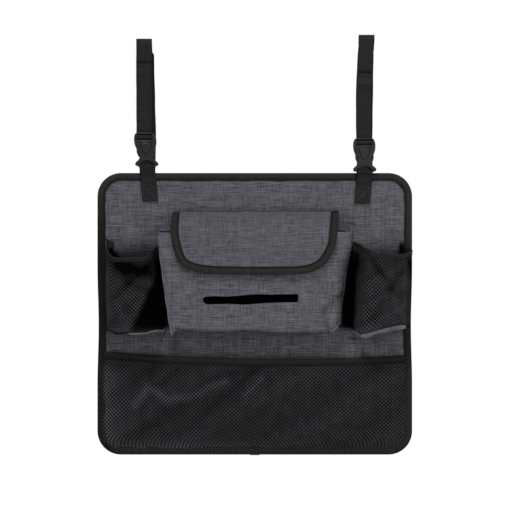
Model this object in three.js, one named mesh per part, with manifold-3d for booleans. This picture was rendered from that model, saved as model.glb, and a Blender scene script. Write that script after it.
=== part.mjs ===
// Car seat-back organiser: a stiffened fabric panel with a tissue pocket under a flap, two net bottle
// pockets, a wide net pocket along the bottom and two webbing straps that buckle round headrest posts.
// Millimetres. X runs to the right as the organiser is seen, Y into the chair's back, Z up.
// The origin is the middle of the panel's back face.

import * as THREE from 'three';
import { mergeVertices } from 'three/addons/utils/BufferGeometryUtils.js';
import Module from 'manifold-3d';

const wasm = await Module();
wasm.setup();

// Cloth and fits
const GAP = 0.3;
const TAPE = 0.75;
const BINDING_WIDTH = 10;
const POCKET_CLOTH = 0.8;
const NET = 0.8;
const WEBBING_WIDTH = 20;
const WEBBING = 1.1;

// Panel
const PANEL_WIDTH = 400;
const PANEL_HEIGHT = 358;
const CORNER_RADIUS = 30;
const WAIST_DEPTH = 1.5;
const WAIST_Z = -15;
const WAIST_REACH = 75;
const LINING = 0.5;
const BOARD = 2.5;
const FACE_CLOTH = 0.75;
const RIM_STEP = 1.5;
const LAP_LENGTH = 12;

// Bottom net pocket
const MOUTH_LEFT_Z = -48.5;
const MOUTH_RIGHT_Z = -53.5;
const MOUTH_SAG = 6.6;
const BOTTOM_SLACK = 8;
const CREASE_DEPTH = 0.8;
const CREASE_SLOPE = 1.2;
const CREASE_PITCH = 84;

// Tissue pocket
const POCKET_TOP_Z = 104;
const POCKET_BOTTOM_Z = -22;
const POCKET_TOP_WIDTH = 249;
const POCKET_BOTTOM_WIDTH = 213;
const POCKET_SEAM_WIDTH = 220;
const POCKET_TOP_DEPTH = 40;
const POCKET_BOTTOM_DEPTH = 34;
const POCKET_CORNER = 10;
const POCKET_SLACK = 2.5;
const POCKET_RIPPLE = 1.2;
const SLOT_LENGTH = 121;
const SLOT_HEIGHT = 9.5;
const SLOT_X = -5.2;
const SLOT_Z = 18.3;
const SLOT_TILT = 0.024;

// Flap
const FLAP_CLOTH = 1.5;
const FLAP_TOP_Z = 129.4;
const FLAP_BOTTOM_Z = 49.7;
const FLAP_TOP_WIDTH = 214;
const FLAP_CORNER_WIDTH = 200;
const FLAP_CORNER = 30;
const FLAP_LIFT = 2.2;
const CLOSURE_LENGTH = 60;
const CLOSURE_WIDTH = 20;
const CLOSURE_TAPE = 0.9;
const CLOSURE_DROP = 26;

// Bottle pockets
const SIDE_DEPTH = 44;
const SIDE_FLOOR_DEPTH = 38;
const SIDE_SEAM_GAP = 4;
const SIDE_FULLNESS = 3.2;
const SIDE_CREASE_DEPTH = 1.6;
const SIDE_CREASE_PITCH = 38;
const HEM_WIDTH = 6;
const HEM_TAPE = 0.5;
const FLOOR_LIP = 2;
const FLOOR_SAG = 1.5;
const FLOOR_DROP = 0.9;
const SIDES = [
  {
    name: 'left', side: -1, mouthOuter: 90, mouthInner: 90, mouthDrop: 18.5,
    floorOuter: -18, floorInner: -14, floorDrop: 9, overhang: 0, lean: 16, foldSlope: 0.6, hollow: 7,
  },
  {
    name: 'right', side: 1, mouthOuter: 89, mouthInner: 94, mouthDrop: 15,
    floorOuter: -10, floorInner: -18, floorDrop: 7, overhang: 20, lean: 24, foldSlope: 1.4, hollow: 2,
  },
];

// Straps and buckles
const POST_RADIUS = 6.5;
const BAR_RADIUS = 1.2;
const BUCKLE_Y = -8;
const BUCKLE_WIDTH = 28.4;
const BUCKLE_LENGTH = 43.4;
const MALE_THICKNESS = 5;
const FEMALE_THICKNESS = 8;
const PLATE_THICKNESS = 1.2;
const SEWN_BACK = 40;
const SEWN_ROOM = 1;
const HEM_FOLD = 10;
const PANEL_TOP = PANEL_HEIGHT / 2;
const PANEL_EDGE = PANEL_WIDTH / 2;
const STRAPS = [
  { name: 'left', topX: 59.3 - PANEL_EDGE, topZ: PANEL_TOP + 171, tailZ: PANEL_TOP + 139.4,
    buckleX: 61.4 - PANEL_EDGE, buckleZ: PANEL_TOP + 50.9, backX: 64.8 - PANEL_EDGE,
    anchorX: 67.2 - PANEL_EDGE, anchorZ: PANEL_TOP - 35.5, bow: 0 },
  { name: 'right', topX: PANEL_EDGE - 57.9, topZ: PANEL_TOP + 176, tailZ: PANEL_TOP + 126.7,
    buckleX: PANEL_EDGE - 60.8, buckleZ: PANEL_TOP + 43.9, backX: PANEL_EDGE - 60.4,
    anchorX: PANEL_EDGE - 63.7, anchorZ: PANEL_TOP - 38.7, bow: -1.8 },
];

// Depths that follow from the layers
const FACE_Y = -(LINING + BOARD + FACE_CLOTH);
const BINDING_Y = FACE_Y - TAPE;
const CLOTH_INSET = TAPE + GAP;
const BINDING_CLEAR = BINDING_WIDTH + GAP;
const TAPED_NET_Y = FACE_Y - 2 * GAP - TAPE;
const SIDE_NET_Y = BINDING_Y - 2 * GAP - HEM_TAPE;

const GREY_CLOTH = cloth(0x58585d, 0.9);
const GREY_LINED = cloth(0x55545a, 0.9);
const BLACK_TAPE = cloth(0x2a2a28, 0.85);
const BLACK_LINING = cloth(0x1d1d1f, 0.9);
const BLACK_NET = cloth(0x202022, 0.9);
const BLACK_WEBBING = cloth(0x232424, 0.8);
const BLACK_CLOSURE = cloth(0x1a1a1b, 0.95);
const WHITE_FOAM = cloth(0xd9d9d5, 0.8);
const BLACK_PLASTIC = cloth(0x2f2e31, 0.45);

function cloth(color, roughness) {
  return new THREE.MeshStandardMaterial({ color, roughness, metalness: 0 });
}

// Closed solids

function quad(faces, a, b, c, d) {
  faces.push([a, b, c], [a, c, d]);
}

function signedVolume(points, faces) {
  const cross = new THREE.Vector3();
  return faces.reduce((sum, [a, b, c]) => sum + points[a].dot(cross.crossVectors(points[b], points[c])), 0);
}

function solid(points, faces) {
  const outward = signedVolume(points, faces) > 0;
  const index = faces.flatMap(([a, b, c]) => (outward ? [a, b, c] : [a, c, b]));
  const geometry = new THREE.BufferGeometry().setFromPoints(points);
  geometry.setIndex(index);
  return geometry;
}

// Sweeps a closed section of (a, b) pairs through the given stations and caps both ends.
function sweep(section, stations, place) {
  const corners = section.map(([a, b]) => new THREE.Vector2(a, b));
  if (THREE.ShapeUtils.isClockWise(corners)) corners.reverse();
  const count = corners.length;
  const last = count * (stations.length - 1);
  const points = stations.flatMap((station) => corners.map((c) => place(station, c.x, c.y)));
  const faces = [];
  for (let start = 0; start < last; start += count) {
    for (let j = 0; j < count; j += 1) {
      const k = (j + 1) % count;
      quad(faces, start + j, start + k, start + count + k, start + count + j);
    }
  }
  for (const [a, b, c] of THREE.ShapeUtils.triangulateShape(corners, [])) {
    faces.push([a, c, b], [last + a, last + b, last + c]);
  }
  return solid(points, faces);
}

// A wall of even thickness over a grid of stations, with a diamond opening in each open cell.
function wall(us, vs, thickness, skin, isOpen = () => false) {
  const columns = us.length;
  const layer = columns * vs.length;
  const points = [0, thickness].flatMap((h) => vs.flatMap((v) => us.map((u) => skin(u, v, h))));
  const faces = [];
  const at = (i, j) => j * columns + i;
  const both = (a, b, c) => faces.push([a + layer, b + layer, c + layer], [a, c, b]);
  const side = (a, b) => quad(faces, b + layer, a + layer, a, b);
  for (let j = 0; j + 1 < vs.length; j += 1) {
    for (let i = 0; i + 1 < columns; i += 1) {
      const ring = [at(i, j), at(i + 1, j), at(i + 1, j + 1), at(i, j + 1)];
      if (isOpen(i, j)) {
        diamond(points, faces, ring, layer);
      } else {
        both(ring[0], ring[1], ring[2]);
        both(ring[0], ring[2], ring[3]);
      }
    }
  }
  for (let i = 0; i + 1 < columns; i += 1) {
    side(at(i, 0), at(i + 1, 0));
    side(at(i + 1, vs.length - 1), at(i, vs.length - 1));
  }
  for (let j = 0; j + 1 < vs.length; j += 1) {
    side(at(columns - 1, j), at(columns - 1, j + 1));
    side(at(0, j + 1), at(0, j));
  }
  return solid(points, faces);
}

const OPENING_SHARE = 0.66;

function diamond(points, faces, ring, layer) {
  const tips = [0, layer].map((lift) => {
    const corners = ring.map((index) => points[index + lift]);
    const centre = corners.reduce((sum, p) => sum.add(p), new THREE.Vector3()).divideScalar(4);
    return corners.map((corner, k) => {
      const middle = corner.clone().lerp(corners[(k + 1) % 4], 0.5);
      points.push(centre.clone().lerp(middle, OPENING_SHARE));
      return points.length - 1;
    });
  });
  for (let k = 0; k < 4; k += 1) {
    const next = (k + 1) % 4;
    const [a, b] = [ring[k], ring[next]];
    const [backTip, frontTip] = [tips[0][k], tips[1][k]];
    const [backNext, frontNext] = [tips[0][next], tips[1][next]];
    faces.push([a + layer, b + layer, frontTip], [a, backTip, b]);
    faces.push([b + layer, frontNext, frontTip], [b, backTip, backNext]);
    quad(faces, frontTip, frontNext, backNext, backTip);
  }
}

// Turns a surface into a skin: a point at height h in front of the surface.
function skinOf(surface) {
  const step = 1e-4;
  return (u, v, h) => {
    const across = surface(u + step, v).sub(surface(u - step, v));
    const up = surface(u, v + step).sub(surface(u, v - step));
    const normal = across.cross(up).normalize();
    return surface(u, v).addScaledVector(normal, h);
  };
}

function evenly(count, from = 0, to = 1) {
  return Array.from({ length: count + 1 }, (_, i) => from + ((to - from) * i) / count);
}

// A folded tape's section: a is depth through the cloth it wraps, b is the way in from the cloth's edge.
function tapeSection(wrapped, width, tape) {
  const inner = -GAP;
  const outer = -GAP - tape;
  const far = wrapped + GAP;
  const end = width - GAP - tape;
  return [
    [outer, end], [outer, outer], [far + tape, outer], [far + tape, end],
    [far, end], [far, inner], [inner, inner], [inner, end],
  ];
}

// Joining and cutting

function toManifold(geometry) {
  const bare = new THREE.BufferGeometry();
  bare.setAttribute('position', geometry.getAttribute('position').clone());
  if (geometry.index) bare.setIndex(geometry.index.clone());
  const merged = mergeVertices(bare, 1e-5);
  return new wasm.Manifold(new wasm.Mesh({
    numProp: 3,
    vertProperties: merged.getAttribute('position').array,
    triVerts: Uint32Array.from(merged.index.array),
  }));
}

function toGeometry(manifold) {
  const mesh = manifold.getMesh();
  const geometry = new THREE.BufferGeometry();
  geometry.setAttribute('position', new THREE.BufferAttribute(mesh.vertProperties, 3));
  geometry.setIndex(Array.from(mesh.triVerts));
  return geometry;
}

const join = (first, ...others) => toGeometry(others.reduce((sum, g) => sum.add(toManifold(g)), toManifold(first)));
const cut = (first, ...others) => toGeometry(
  others.reduce((rest, g) => rest.subtract(toManifold(g)), toManifold(first)),
);

// A flat plate of the given outline (X, Z), from its back plane to its front plane.
function plate(outline, backY, frontY) {
  const shape = outline instanceof THREE.Shape ? outline : new THREE.Shape(outline);
  const geometry = new THREE.ExtrudeGeometry(shape, { depth: backY - frontY, bevelEnabled: false, curveSegments: 8 });
  return geometry.rotateX(Math.PI / 2).translate(0, backY, 0);
}

function block(x0, x1, y0, y1, z0, z1) {
  const box = new THREE.BoxGeometry(x1 - x0, y1 - y0, z1 - z0);
  return box.translate((x0 + x1) / 2, (y0 + y1) / 2, (z0 + z1) / 2);
}

// Panel: lining, foam board and face cloth, with a folded tape round the edge

function waist(z) {
  const along = Math.min(Math.abs(z - WAIST_Z) / WAIST_REACH, 1);
  return WAIST_DEPTH * Math.cos((along * Math.PI) / 2) ** 2;
}

function halfWidthAt(z, inset) {
  const radius = CORNER_RADIUS - inset;
  const intoCorner = Math.abs(z) - (PANEL_TOP - CORNER_RADIUS);
  const beyond = THREE.MathUtils.clamp(intoCorner, 0, radius);
  const corner = radius - Math.sqrt(radius ** 2 - beyond ** 2);
  return PANEL_EDGE - inset - corner - waist(z);
}

function panelOutline(inset) {
  const straight = PANEL_TOP - CORNER_RADIUS;
  const radius = CORNER_RADIUS - inset;
  const arc = evenly(6, 0, Math.PI / 2).map((turn) => straight + radius * Math.sin(turn));
  const side = evenly(7, -straight, straight).slice(1, -1);
  const levels = [...arc.map((z) => -z).reverse(), ...side, ...arc];
  const right = levels.map((z) => new THREE.Vector2(halfWidthAt(z, inset), z));
  const left = levels.map((z) => new THREE.Vector2(-halfWidthAt(z, inset), z)).reverse();
  return [...right, ...left];
}

const panelPlate = (inset, backY, frontY) => plate(panelOutline(inset), backY, frontY);

const STEP_INSET = BINDING_CLEAR + GAP;
const RIM_FRONT = -(RIM_STEP + LINING);

// The raised middle of the panel's back, with a recess where the end of each strap is sewn down.
function raisedMiddle(inset, backY, frontY) {
  const recesses = STRAPS.map((spec) => {
    const half = WEBBING_WIDTH / 2 + SEWN_ROOM + inset - STEP_INSET;
    const bottom = PANEL_TOP - SEWN_BACK - SEWN_ROOM - (inset - STEP_INSET);
    return block(spec.backX - half, spec.backX + half, frontY - 1, 1, bottom, PANEL_TOP);
  });
  return cut(panelPlate(inset, backY, frontY), ...recesses);
}

function panelLining() {
  const rim = panelPlate(CLOTH_INSET, -RIM_STEP, RIM_FRONT);
  const middle = raisedMiddle(STEP_INSET, 0, RIM_FRONT);
  const room = raisedMiddle(STEP_INSET + LINING, -LINING, RIM_FRONT - GAP);
  return cut(join(rim, middle), room);
}

function panelBoard() {
  const rim = panelPlate(CLOTH_INSET, RIM_FRONT, -(LINING + BOARD));
  const middle = raisedMiddle(STEP_INSET + LINING + GAP, -LINING, -(LINING + BOARD));
  return join(rim, middle);
}

function edgeBinding() {
  const bottom = -PANEL_TOP;
  const backY = -(RIM_STEP - TAPE);
  const lap = block(
    -LAP_LENGTH / 2, LAP_LENGTH / 2, BINDING_Y - TAPE, backY, bottom - TAPE, bottom + BINDING_WIDTH - GAP,
  );
  const folded = join(panelPlate(0, backY, BINDING_Y), lap);
  const hollow = panelPlate(TAPE, -RIM_STEP, FACE_Y);
  const window = panelPlate(BINDING_WIDTH, 1, BINDING_Y - 2 * TAPE);
  return cut(folded, hollow, window);
}

// Bottom net pocket

const NET_BOTTOM_Z = BINDING_CLEAR - PANEL_TOP;

function mouthZ(u) {
  const level = THREE.MathUtils.lerp(MOUTH_LEFT_Z, MOUTH_RIGHT_Z, u);
  return level - MOUTH_SAG * 4 * u * (1 - u);
}

// Slack creases that run up to the right.
function creases(x, z, slope, pitch) {
  return Math.sin(((x - slope * z) * 2 * Math.PI) / pitch) + 0.5 * Math.sin((x - 1.4 * slope * z) / (0.11 * pitch));
}

// Nothing at the seam below and from the tape up, one in between.
function creaseFade(v, tapeStart) {
  return Math.sqrt(Math.sin(Math.PI * THREE.MathUtils.clamp(v / tapeStart, 0, 1)));
}

function bottomNetSurface(u, v) {
  const z = THREE.MathUtils.lerp(NET_BOTTOM_Z, mouthZ(u), v);
  const x = (2 * u - 1) * halfWidthAt(z, BINDING_CLEAR);
  const free = Math.sin(Math.PI * THREE.MathUtils.clamp(u, 0, 1)) ** 0.7;
  const rise = Math.sin(Math.min(v * 1.1, 1) * (Math.PI / 2));
  const wrinkle = CREASE_DEPTH * creases(x, z, CREASE_SLOPE, CREASE_PITCH) * creaseFade(v, TAPE_START);
  return new THREE.Vector3(x, TAPED_NET_Y - (BOTTOM_SLACK * rise + wrinkle) * free, z);
}

const BOTTOM_US = evenly(24);
const TAPE_START = 1 - (BINDING_WIDTH - GAP - TAPE) / (MOUTH_LEFT_Z - NET_BOTTOM_Z);
const BOTTOM_VS = [0, 0.04, 0.12, ...evenly(5, 0.25, TAPE_START), 1];

// Every other cell is open, except in a margin of so many columns and rows along the edges.
function everyOther(us, vs, sideMargin, bottomMargin) {
  return (i, j) => {
    const inColumns = i >= sideMargin && i < us.length - 1 - sideMargin;
    const inRows = j >= bottomMargin && j < vs.length - 3;
    return inColumns && inRows && (i + j) % 2 === 0;
  };
}

function bottomPocketNet() {
  return wall(BOTTOM_US, BOTTOM_VS, NET, skinOf(bottomNetSurface), everyOther(BOTTOM_US, BOTTOM_VS, 2, 2));
}

// A tape folded over the mouth of a net of the given height.
function mouthTape(us, skin, height, width, tape) {
  return sweep(tapeSection(NET, width, tape), us, (u, a, b) => skin(u, 1 - b / height, a));
}

function bottomPocketBinding() {
  const height = MOUTH_LEFT_Z - NET_BOTTOM_Z;
  return mouthTape(BOTTOM_US, skinOf(bottomNetSurface), height, BINDING_WIDTH, TAPE);
}

// Tissue pocket

function pocketDepth(share) {
  return THREE.MathUtils.lerp(POCKET_BOTTOM_DEPTH, POCKET_TOP_DEPTH, share);
}

function pocketFrontSurface(u, v) {
  const height = POCKET_TOP_Z - POCKET_BOTTOM_Z;
  const flare = THREE.MathUtils.lerp(POCKET_BOTTOM_WIDTH, POCKET_TOP_WIDTH, v) / 2;
  const intoCorner = POCKET_CORNER - THREE.MathUtils.clamp(v * height, 0, POCKET_CORNER);
  const round = POCKET_CORNER - Math.sqrt(POCKET_CORNER ** 2 - intoCorner ** 2);
  const x = (2 * u - 1) * (flare - round);
  const ripple = POCKET_RIPPLE * Math.sin(u * 19) * Math.max(1 - 3 * v, 0);
  const z = POCKET_BOTTOM_Z + v * height + ripple;
  const belly = POCKET_SLACK * Math.sin(Math.PI * THREE.MathUtils.clamp(u, 0, 1)) ** 0.6 * (1 - 0.6 * v);
  return new THREE.Vector3(x, FACE_Y - GAP - pocketDepth(v) - belly, z);
}

const pocketFrontSkin = skinOf(pocketFrontSurface);

function slotOutline() {
  const shape = new THREE.Shape();
  const [half, rise] = [SLOT_LENGTH / 2, SLOT_HEIGHT / 2];
  shape.moveTo(-half + rise, -rise);
  shape.lineTo(half - 1, -rise);
  shape.absarc(half - 1, -rise + 1, 1, -Math.PI / 2, 0);
  shape.absarc(half - 1, rise - 1, 1, 0, Math.PI / 2);
  shape.lineTo(-half + rise, rise);
  shape.absarc(-half + rise, 0, rise, Math.PI / 2, (3 * Math.PI) / 2);
  return shape;
}

function tissuePocketFront() {
  const front = wall(evenly(14), [0, 0.015, 0.04, 0.08, ...evenly(5, 0.2, 1)], POCKET_CLOTH, pocketFrontSkin);
  const punch = plate(slotOutline(), 0, -2 * POCKET_TOP_DEPTH).rotateY(-SLOT_TILT).translate(SLOT_X, 0, SLOT_Z);
  return cut(front, punch);
}

// The U-shaped line that the gusset follows, at a share of the way from the panel to the pocket's front.
function gussetPath(share) {
  const front = GAP + POCKET_CLOTH;
  const top = THREE.MathUtils.lerp(POCKET_SEAM_WIDTH, POCKET_TOP_WIDTH, share) / 2 - front;
  const low = THREE.MathUtils.lerp(POCKET_SEAM_WIDTH, POCKET_BOTTOM_WIDTH, share) / 2 - front;
  const bottom = POCKET_BOTTOM_Z + THREE.MathUtils.lerp(6, 2.5, share);
  const turn = bottom + POCKET_CORNER;
  const path = new THREE.Path().moveTo(-top, POCKET_TOP_Z);
  path.lineTo(-low, turn);
  path.quadraticCurveTo(-low, bottom, -low + POCKET_CORNER, bottom);
  path.lineTo(low - POCKET_CORNER, bottom);
  path.quadraticCurveTo(low, bottom, low, turn);
  path.lineTo(top, POCKET_TOP_Z);
  return path;
}

function gussetSurface(u, share) {
  const across = gussetPath(share).getPointAt(THREE.MathUtils.clamp(u, 0, 1));
  const rise = (across.y - POCKET_BOTTOM_Z) / (POCKET_TOP_Z - POCKET_BOTTOM_Z);
  const y = FACE_Y - GAP - share * (pocketDepth(rise) - GAP);
  return new THREE.Vector3(across.x, y, across.y);
}

function tissuePocketGusset() {
  return wall(evenly(28), evenly(2), POCKET_CLOTH, skinOf(gussetSurface));
}

// Flap

const FLAP_PROFILE = new THREE.CatmullRomCurve3(flapProfilePoints(), false, 'centripetal');
const FLAP_LENGTH = FLAP_PROFILE.getLength();

function flapProfilePoints() {
  const lipY = FACE_Y - GAP - POCKET_TOP_DEPTH - POCKET_CLOTH - POCKET_SLACK * 0.4;
  const startY = FACE_Y - 2 * GAP - TAPE;
  const hangY = lipY - FLAP_LIFT;
  const point = (y, z) => new THREE.Vector3(0, y, z);
  return [
    point(startY, FLAP_TOP_Z),
    point(THREE.MathUtils.lerp(startY, lipY, 0.3), FLAP_TOP_Z - 3.5),
    point(THREE.MathUtils.lerp(startY, lipY, 0.7), FLAP_TOP_Z - 12),
    point(lipY, POCKET_TOP_Z + 4),
    point(hangY, POCKET_TOP_Z - 5),
    point(hangY - 0.6, POCKET_TOP_Z - 18),
    point(hangY - 0.8, (POCKET_TOP_Z + FLAP_BOTTOM_Z) / 2 - 8),
    point(hangY - 1.2, FLAP_BOTTOM_Z),
  ];
}

// A point of the flap: x across, t down along the cloth, h out from its back.
function flapSkin(x, t, h) {
  const at = THREE.MathUtils.clamp(t / FLAP_LENGTH, 0, 1);
  const centre = FLAP_PROFILE.getPointAt(at);
  const tangent = FLAP_PROFILE.getTangentAt(at);
  const past = t - at * FLAP_LENGTH;
  const y = centre.y + tangent.y * past + tangent.z * h;
  const z = centre.z + tangent.z * past - tangent.y * h;
  return new THREE.Vector3(x, y, z);
}

const FLAP_CORNER_T = FLAP_LENGTH - FLAP_CORNER;
const FLAP_ROWS = evenly(11, 0, FLAP_CORNER_T);
const CORNER_TURNS = evenly(6, 0, Math.PI / 2).slice(1);

// Half the flap's width where its side line is straight.
function flapSide(t) {
  return THREE.MathUtils.lerp(FLAP_TOP_WIDTH, FLAP_CORNER_WIDTH, (t / FLAP_CORNER_T) ** 2) / 2;
}

// The flap's outline as stations of (x, t) with the direction that points into the cloth.
function flapStations() {
  const left = FLAP_ROWS.map((t) => ({ x: -flapSide(t), t, inX: 1, inT: 0 }));
  const corner = CORNER_TURNS.map((turn) => ({
    x: -FLAP_CORNER_WIDTH / 2 + FLAP_CORNER * (1 - Math.cos(turn)),
    t: FLAP_CORNER_T + FLAP_CORNER * Math.sin(turn),
    inX: Math.cos(turn),
    inT: -Math.sin(turn),
  }));
  const halfway = [...left, ...corner];
  const right = halfway.map((s) => ({ ...s, x: -s.x, inX: -s.inX })).reverse();
  return [...halfway, ...right];
}

function flapBinding() {
  const place = (s, a, b) => flapSkin(s.x + s.inX * b, s.t + s.inT * b, a);
  const section = tapeSection(FLAP_CLOTH, BINDING_WIDTH, TAPE);
  const shift = TAPE + GAP;
  return sweep(section.map(([a, b]) => [a, b + shift]), flapStations(), place);
}

function flap() {
  const inset = TAPE + GAP;
  const corner = FLAP_CORNER - inset;
  const side = FLAP_ROWS.map((t) => [flapSide(t) - inset, t]);
  const round = CORNER_TURNS.map((turn) => [
    FLAP_CORNER_WIDTH / 2 - FLAP_CORNER + corner * Math.cos(turn),
    FLAP_CORNER_T + corner * Math.sin(turn),
  ]);
  const rows = [...side, ...round];
  const skin = (u, row, h) => flapSkin((2 * u - 1) * rows[row][0], rows[row][1], h);
  const upwards = rows.map((_, row) => row).reverse();
  return wall(evenly(2), upwards, FLAP_CLOTH, skin);
}

function flapHookTape() {
  const half = CLOSURE_LENGTH / 2;
  const middle = FLAP_LENGTH - CLOSURE_DROP;
  const rows = evenly(3, middle + CLOSURE_WIDTH / 2, middle - CLOSURE_WIDTH / 2);
  return wall(evenly(1, -half, half), rows, CLOSURE_TAPE, (x, t, h) => flapSkin(x, t, h - GAP - CLOSURE_TAPE));
}

function pocketLoopTape() {
  const halfSpan = CLOSURE_LENGTH / (POCKET_TOP_WIDTH + POCKET_BOTTOM_WIDTH);
  const height = POCKET_TOP_Z - POCKET_BOTTOM_Z;
  const middle = (FLAP_BOTTOM_Z + CLOSURE_DROP - POCKET_BOTTOM_Z) / height;
  const rise = CLOSURE_WIDTH / 2 / height;
  const columns = evenly(4, 0.5 - halfSpan, 0.5 + halfSpan);
  const skin = (u, v, h) => pocketFrontSkin(u, v, h + POCKET_CLOTH + GAP);
  return wall(columns, evenly(2, middle - rise, middle + rise), CLOSURE_TAPE, skin);
}

// Bottle pockets

const SEAM_X = POCKET_SEAM_WIDTH / 2 + SIDE_SEAM_GAP;

// The rounded plan of a bottle pocket: how far across and how far forward, at a share from its outer seam.
function roundedPlan(share) {
  const angle = Math.PI * THREE.MathUtils.clamp(share, 0, 1);
  const across = Math.cos(angle);
  return {
    across: Math.sign(across) * Math.abs(across) ** (2 / SIDE_FULLNESS),
    forward: Math.sin(angle) ** (2 / SIDE_FULLNESS),
  };
}

// The height of a bottle pocket's net at the front of its rounded plan.
function sideHeight(spec) {
  const mouth = (spec.mouthOuter + spec.mouthInner) / 2 - spec.mouthDrop;
  return mouth - (spec.floorOuter + spec.floorInner) / 2 + spec.floorDrop;
}

// How far in front of the panel a bottle pocket's net starts: over the binding at its outer seam,
// and on the panel at its inner seam, with room for the hem's back layer at the mouth.
function seatY(share, v) {
  const inner = FACE_Y - GAP - v * (GAP + HEM_TAPE);
  return THREE.MathUtils.lerp(SIDE_NET_Y, inner, THREE.MathUtils.clamp(share, 0, 1));
}

const hemStart = (spec) => 1 - (HEM_WIDTH - GAP - HEM_TAPE) / sideHeight(spec);

function sideNetSurface(spec) {
  const { side, overhang, lean, hollow } = spec;
  const fade = (v) => creaseFade(v, hemStart(spec));
  return (u, v) => {
    const share = side < 0 ? u : 1 - u;
    const { across, forward } = roundedPlan(share);
    const mouth = THREE.MathUtils.lerp(spec.mouthOuter, spec.mouthInner, share) - spec.mouthDrop * forward;
    const floor = THREE.MathUtils.lerp(spec.floorOuter, spec.floorInner, share) - spec.floorDrop * forward;
    const z = THREE.MathUtils.lerp(floor, mouth, v);
    const outer = halfWidthAt(z, BINDING_CLEAR);
    const middle = (outer + SEAM_X) / 2;
    const swell = across > 0 ? overhang * across * forward : lean * v * -across * forward;
    const x = middle + ((outer - SEAM_X) / 2) * across + swell;
    const fold = SIDE_CREASE_DEPTH * creases(x, z, spec.foldSlope, SIDE_CREASE_PITCH) * forward * fade(v);
    const dent = hollow * Math.exp(-(((share - 0.72) / 0.12) ** 2) - ((v - 0.3) / 0.3) ** 2);
    const depth = THREE.MathUtils.lerp(SIDE_FLOOR_DEPTH, SIDE_DEPTH, v);
    const seat = seatY(share, v);
    const y = seat - depth * forward + fold + dent * fade(v);
    return new THREE.Vector3(side * x, Math.min(y, seat), z);
  };
}

const SIDE_US = evenly(20);

function sidePocketNet(spec) {
  const rows = [...evenly(6, 0, hemStart(spec)), 1];
  return wall(SIDE_US, rows, NET, skinOf(sideNetSurface(spec)), everyOther(SIDE_US, rows, 3, 1));
}

function sidePocketHem(spec) {
  return mouthTape(SIDE_US, skinOf(sideNetSurface(spec)), sideHeight(spec), HEM_WIDTH, HEM_TAPE);
}

// The cloth floor that closes a bottle pocket, from the panel to just past the net's lower edge.
function sidePocketFloor(spec) {
  const surface = sideNetSurface(spec);
  const skin = (u, v, h) => {
    const edge = surface(u, 0);
    const seamX = THREE.MathUtils.clamp(Math.abs(edge.x), SEAM_X, halfWidthAt(edge.z, BINDING_CLEAR));
    const x = THREE.MathUtils.lerp(seamX * spec.side, edge.x, v);
    const y = THREE.MathUtils.lerp(FACE_Y - GAP, edge.y - FLOOR_LIP, v);
    const below = GAP + POCKET_CLOTH + FLOOR_DROP * v + FLOOR_SAG * Math.sin(Math.PI * v);
    return new THREE.Vector3(x, y, edge.z - below + h);
  };
  const betweenSeams = evenly(14, 0.09, 0.91);
  return wall(betweenSeams, evenly(2), POCKET_CLOTH, (u, v, h) => skin(u, 1 - v, h));
}

// Straps: webbing that follows a line in the (Y, Z) plane, with a sideways place that depends on height

function arc(centreY, centreZ, radius, from, to, steps) {
  return evenly(steps, from, to).map((turn) => (
    new THREE.Vector2(centreY + radius * Math.cos(turn), centreZ + radius * Math.sin(turn))
  ));
}

function webbing(line, sidewaysAt) {
  const half = WEBBING_WIDTH / 2;
  const section = [[-half, 0], [half, 0], [half, WEBBING], [-half, WEBBING]];
  const stations = line.map((point, i) => {
    const before = line[Math.max(i - 1, 0)];
    const after = line[Math.min(i + 1, line.length - 1)];
    const entering = point.clone().sub(before).normalize();
    const leaving = after.clone().sub(point).normalize();
    const along = entering.add(leaving).normalize();
    return { point, across: new THREE.Vector2(-along.y, along.x), i };
  });
  return sweep(section, stations, (s, a, b) => {
    const offset = s.across.clone().multiplyScalar(b - WEBBING / 2);
    const x = sidewaysAt(s.point.y, s.i) + a;
    return new THREE.Vector3(x, s.point.x + offset.x, s.point.y + offset.y);
  });
}

const WRAP = BAR_RADIUS + GAP + WEBBING / 2;
const LAYER = WEBBING + GAP;
const BUCKLE_BAR_DROP = 5.1;
const FEMALE_BAR_DROP = BUCKLE_LENGTH - BAR_RADIUS;

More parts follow.
